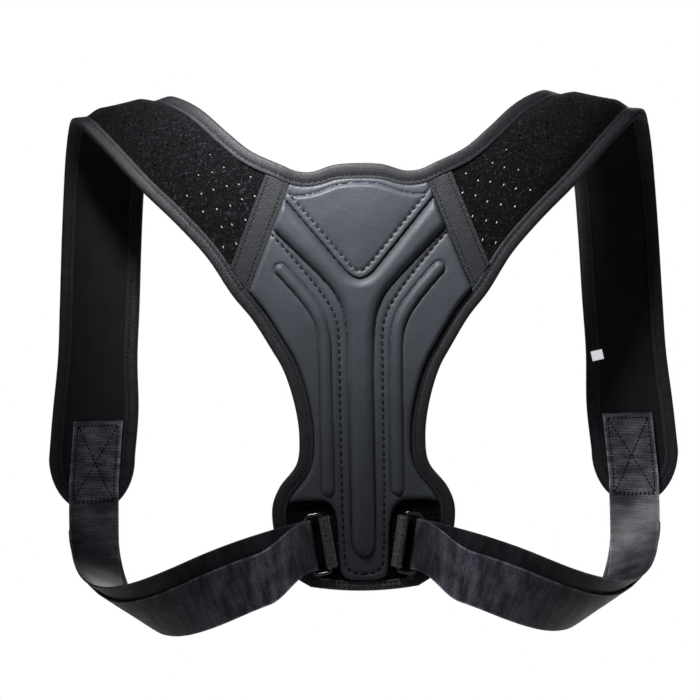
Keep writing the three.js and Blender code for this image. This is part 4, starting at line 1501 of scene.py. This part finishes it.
# %% Stitches on the hem
hem_rows = []
x = np.linspace(2 - hem_binding_length / 2, hem_binding_length / 2 - 2, 17)
for height in (0.35, 0.82):
    places = np.stack([x, np.full_like(x, -binding_half), hem_arc(x)], -1)
    places[:, 2] += height * hem_binding_width
    hem_rows.append((places, rows_of((1, 0, 0), len(x)), rows_of(BACKWARD, len(x)), 2.0))
sew("hem_stitches", hem_rows, "binding_tape", THIN_THREAD)

# %% Stitches on the seam tapes and the patches
TAPE_STITCH, PATCH_STITCH, PATCH_PITCH, PATCH_DEPTH = 2.4, 2.3, 3.0, 0.9
patch_half, patch_top, patch_low = webbing_width / 2 - 3.6, 3.5, 60.0
low_row, low_half = patch_low + 1.4, 15.6
patch_corners = {
    "a": (patch_top, -patch_half), "b": (patch_top, patch_half), "c": (patch_low, patch_half),
    "d": (patch_low, -patch_half), "e": (low_row, -low_half), "f": (low_row, low_half),
}
for side, word in ((1, "right"), (-1, "left")):
    rows = []
    for aside_at in (0.165, 0.835):
        v = np.linspace(0.03, 0.97, 24)
        places, _ = seam_place(np.full_like(v, aside_at), v)
        places[:, 1] = pad_back - tape - 0.12
        rows.append(flat_row(places, TAPE_STITCH, side))
    sew(f"tape_stitches_{word}", rows, "seam_tape", THIN_THREAD)
    rows = []
    for first, last in ("ab", "ef", "bc", "cd", "da", "ac", "bd"):
        start, stop = np.array(patch_corners[first]), np.array(patch_corners[last])
        count = int(np.hypot(*(stop - start)) / PATCH_PITCH)
        share = ((np.arange(count) + 0.5) / count)[:, None]
        run, across = (start + (stop - start) * share).T
        places = web_layer(run, across)
        places[:, 1] -= PATCH_DEPTH
        rows.append(flat_row(places, PATCH_STITCH, side))
    sew(f"patch_stitches_{word}", rows, "webbing", WEB_THREAD)

# %% [markdown]
# ## Floor, light and sky
#
# A pale floor lies under the brace, out of the picture. One small soft light stands above and to
# the left of the pad, so near and so narrow that the top of the pad is much brighter than the
# bottom. Two faint ones graze the webbing from the sides. One beside the camera, one on the far
# side and a pale sky fill in. The camera sees the sky as white, like a studio sweep, and it sees
# a glow on the floor that lights nothing else.

# %% Floor and lights
bpy.ops.object.select_all(action="DESELECT")
bpy.ops.mesh.primitive_plane_add(size=2.3, location=(0, 0, -0.75))
floor = bpy.context.object
floor.name = "floor"
floor_paint = Paint("floor_paint", 0.9, Emission_Color=(0.5, 0.5, 0.51, 1))
cloud = floor_paint.noise(floor_paint.where(), 4)
floor_paint.base(floor_paint.two_colours(cloud, grey(0.86), grey(0.9)))
seen = floor_paint.add("LightPath", "Is Camera Ray")
floor_paint.put(floor_paint.shader, Emission_Strength=seen)
floor.data.materials.append(floor_paint.material)
floor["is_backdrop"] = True


def soft_light(name, place, aim, size, energy, spread=180):
    data = bpy.data.lights.new(name, "AREA")
    data.shape = "RECTANGLE"
    data.size, data.size_y, data.energy = size[0], size[1], energy
    data.spread = math.radians(spread)
    lamp = placed(name, data)
    lamp.location = place
    lamp.rotation_euler = (Vector(aim) - Vector(place)).to_track_quat("-Z", "Y").to_euler()


soft_light("key_light", (-0.15, -0.34, 0.30), (-0.03, -0.05, 0.02), (0.15, 0.09), 1.14, 50)
soft_light("front_fill", (0.6, -1.5, 0.4), (0.0, 0.0, -0.1), (1.0, 1.0), 0.4)
soft_light("low_left", (-0.9, -0.35, -0.35), (0.0, -0.05, -0.30), (0.3, 0.3), 0.5)
soft_light("low_right", (0.9, -0.35, -0.35), (0.0, -0.05, -0.30), (0.3, 0.3), 0.5)
soft_light("far_side", (0.5, 1.5, 0.5), (0.0, 0.0, -0.15), (1.2, 1.2), 25.0)

SKY_LIGHT, SKY_SEEN = 0.045, 1.0
world = bpy.data.worlds.new("sky")
bpy.context.scene.world = world
world.use_nodes = True
nodes, links = world.node_tree.nodes, world.node_tree.links
pale = nodes["Background"]
pale.inputs["Color"].default_value = (0.80, 0.86, 1.0, 1)
pale.inputs["Strength"].default_value = SKY_LIGHT
white = nodes.new("ShaderNodeBackground")
white.inputs["Color"].default_value = (1, 1, 1, 1)
white.inputs["Strength"].default_value = SKY_SEEN
seen = nodes.new("ShaderNodeLightPath")
blend = nodes.new("ShaderNodeMixShader")
links.new(seen.outputs["Is Camera Ray"], blend.inputs["Fac"])
links.new(pale.outputs["Background"], blend.inputs[1])
links.new(white.outputs["Background"], blend.inputs[2])
links.new(blend.outputs["Shader"], nodes["World Output"].inputs["Surface"])
bpy.context.scene.view_settings.view_transform = "Standard"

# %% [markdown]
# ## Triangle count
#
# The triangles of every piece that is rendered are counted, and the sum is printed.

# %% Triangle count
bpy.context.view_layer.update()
total = 0
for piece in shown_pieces():
    piece.data.calc_loop_triangles()
    total += len(piece.data.loop_triangles)
print("triangles in all:", total)
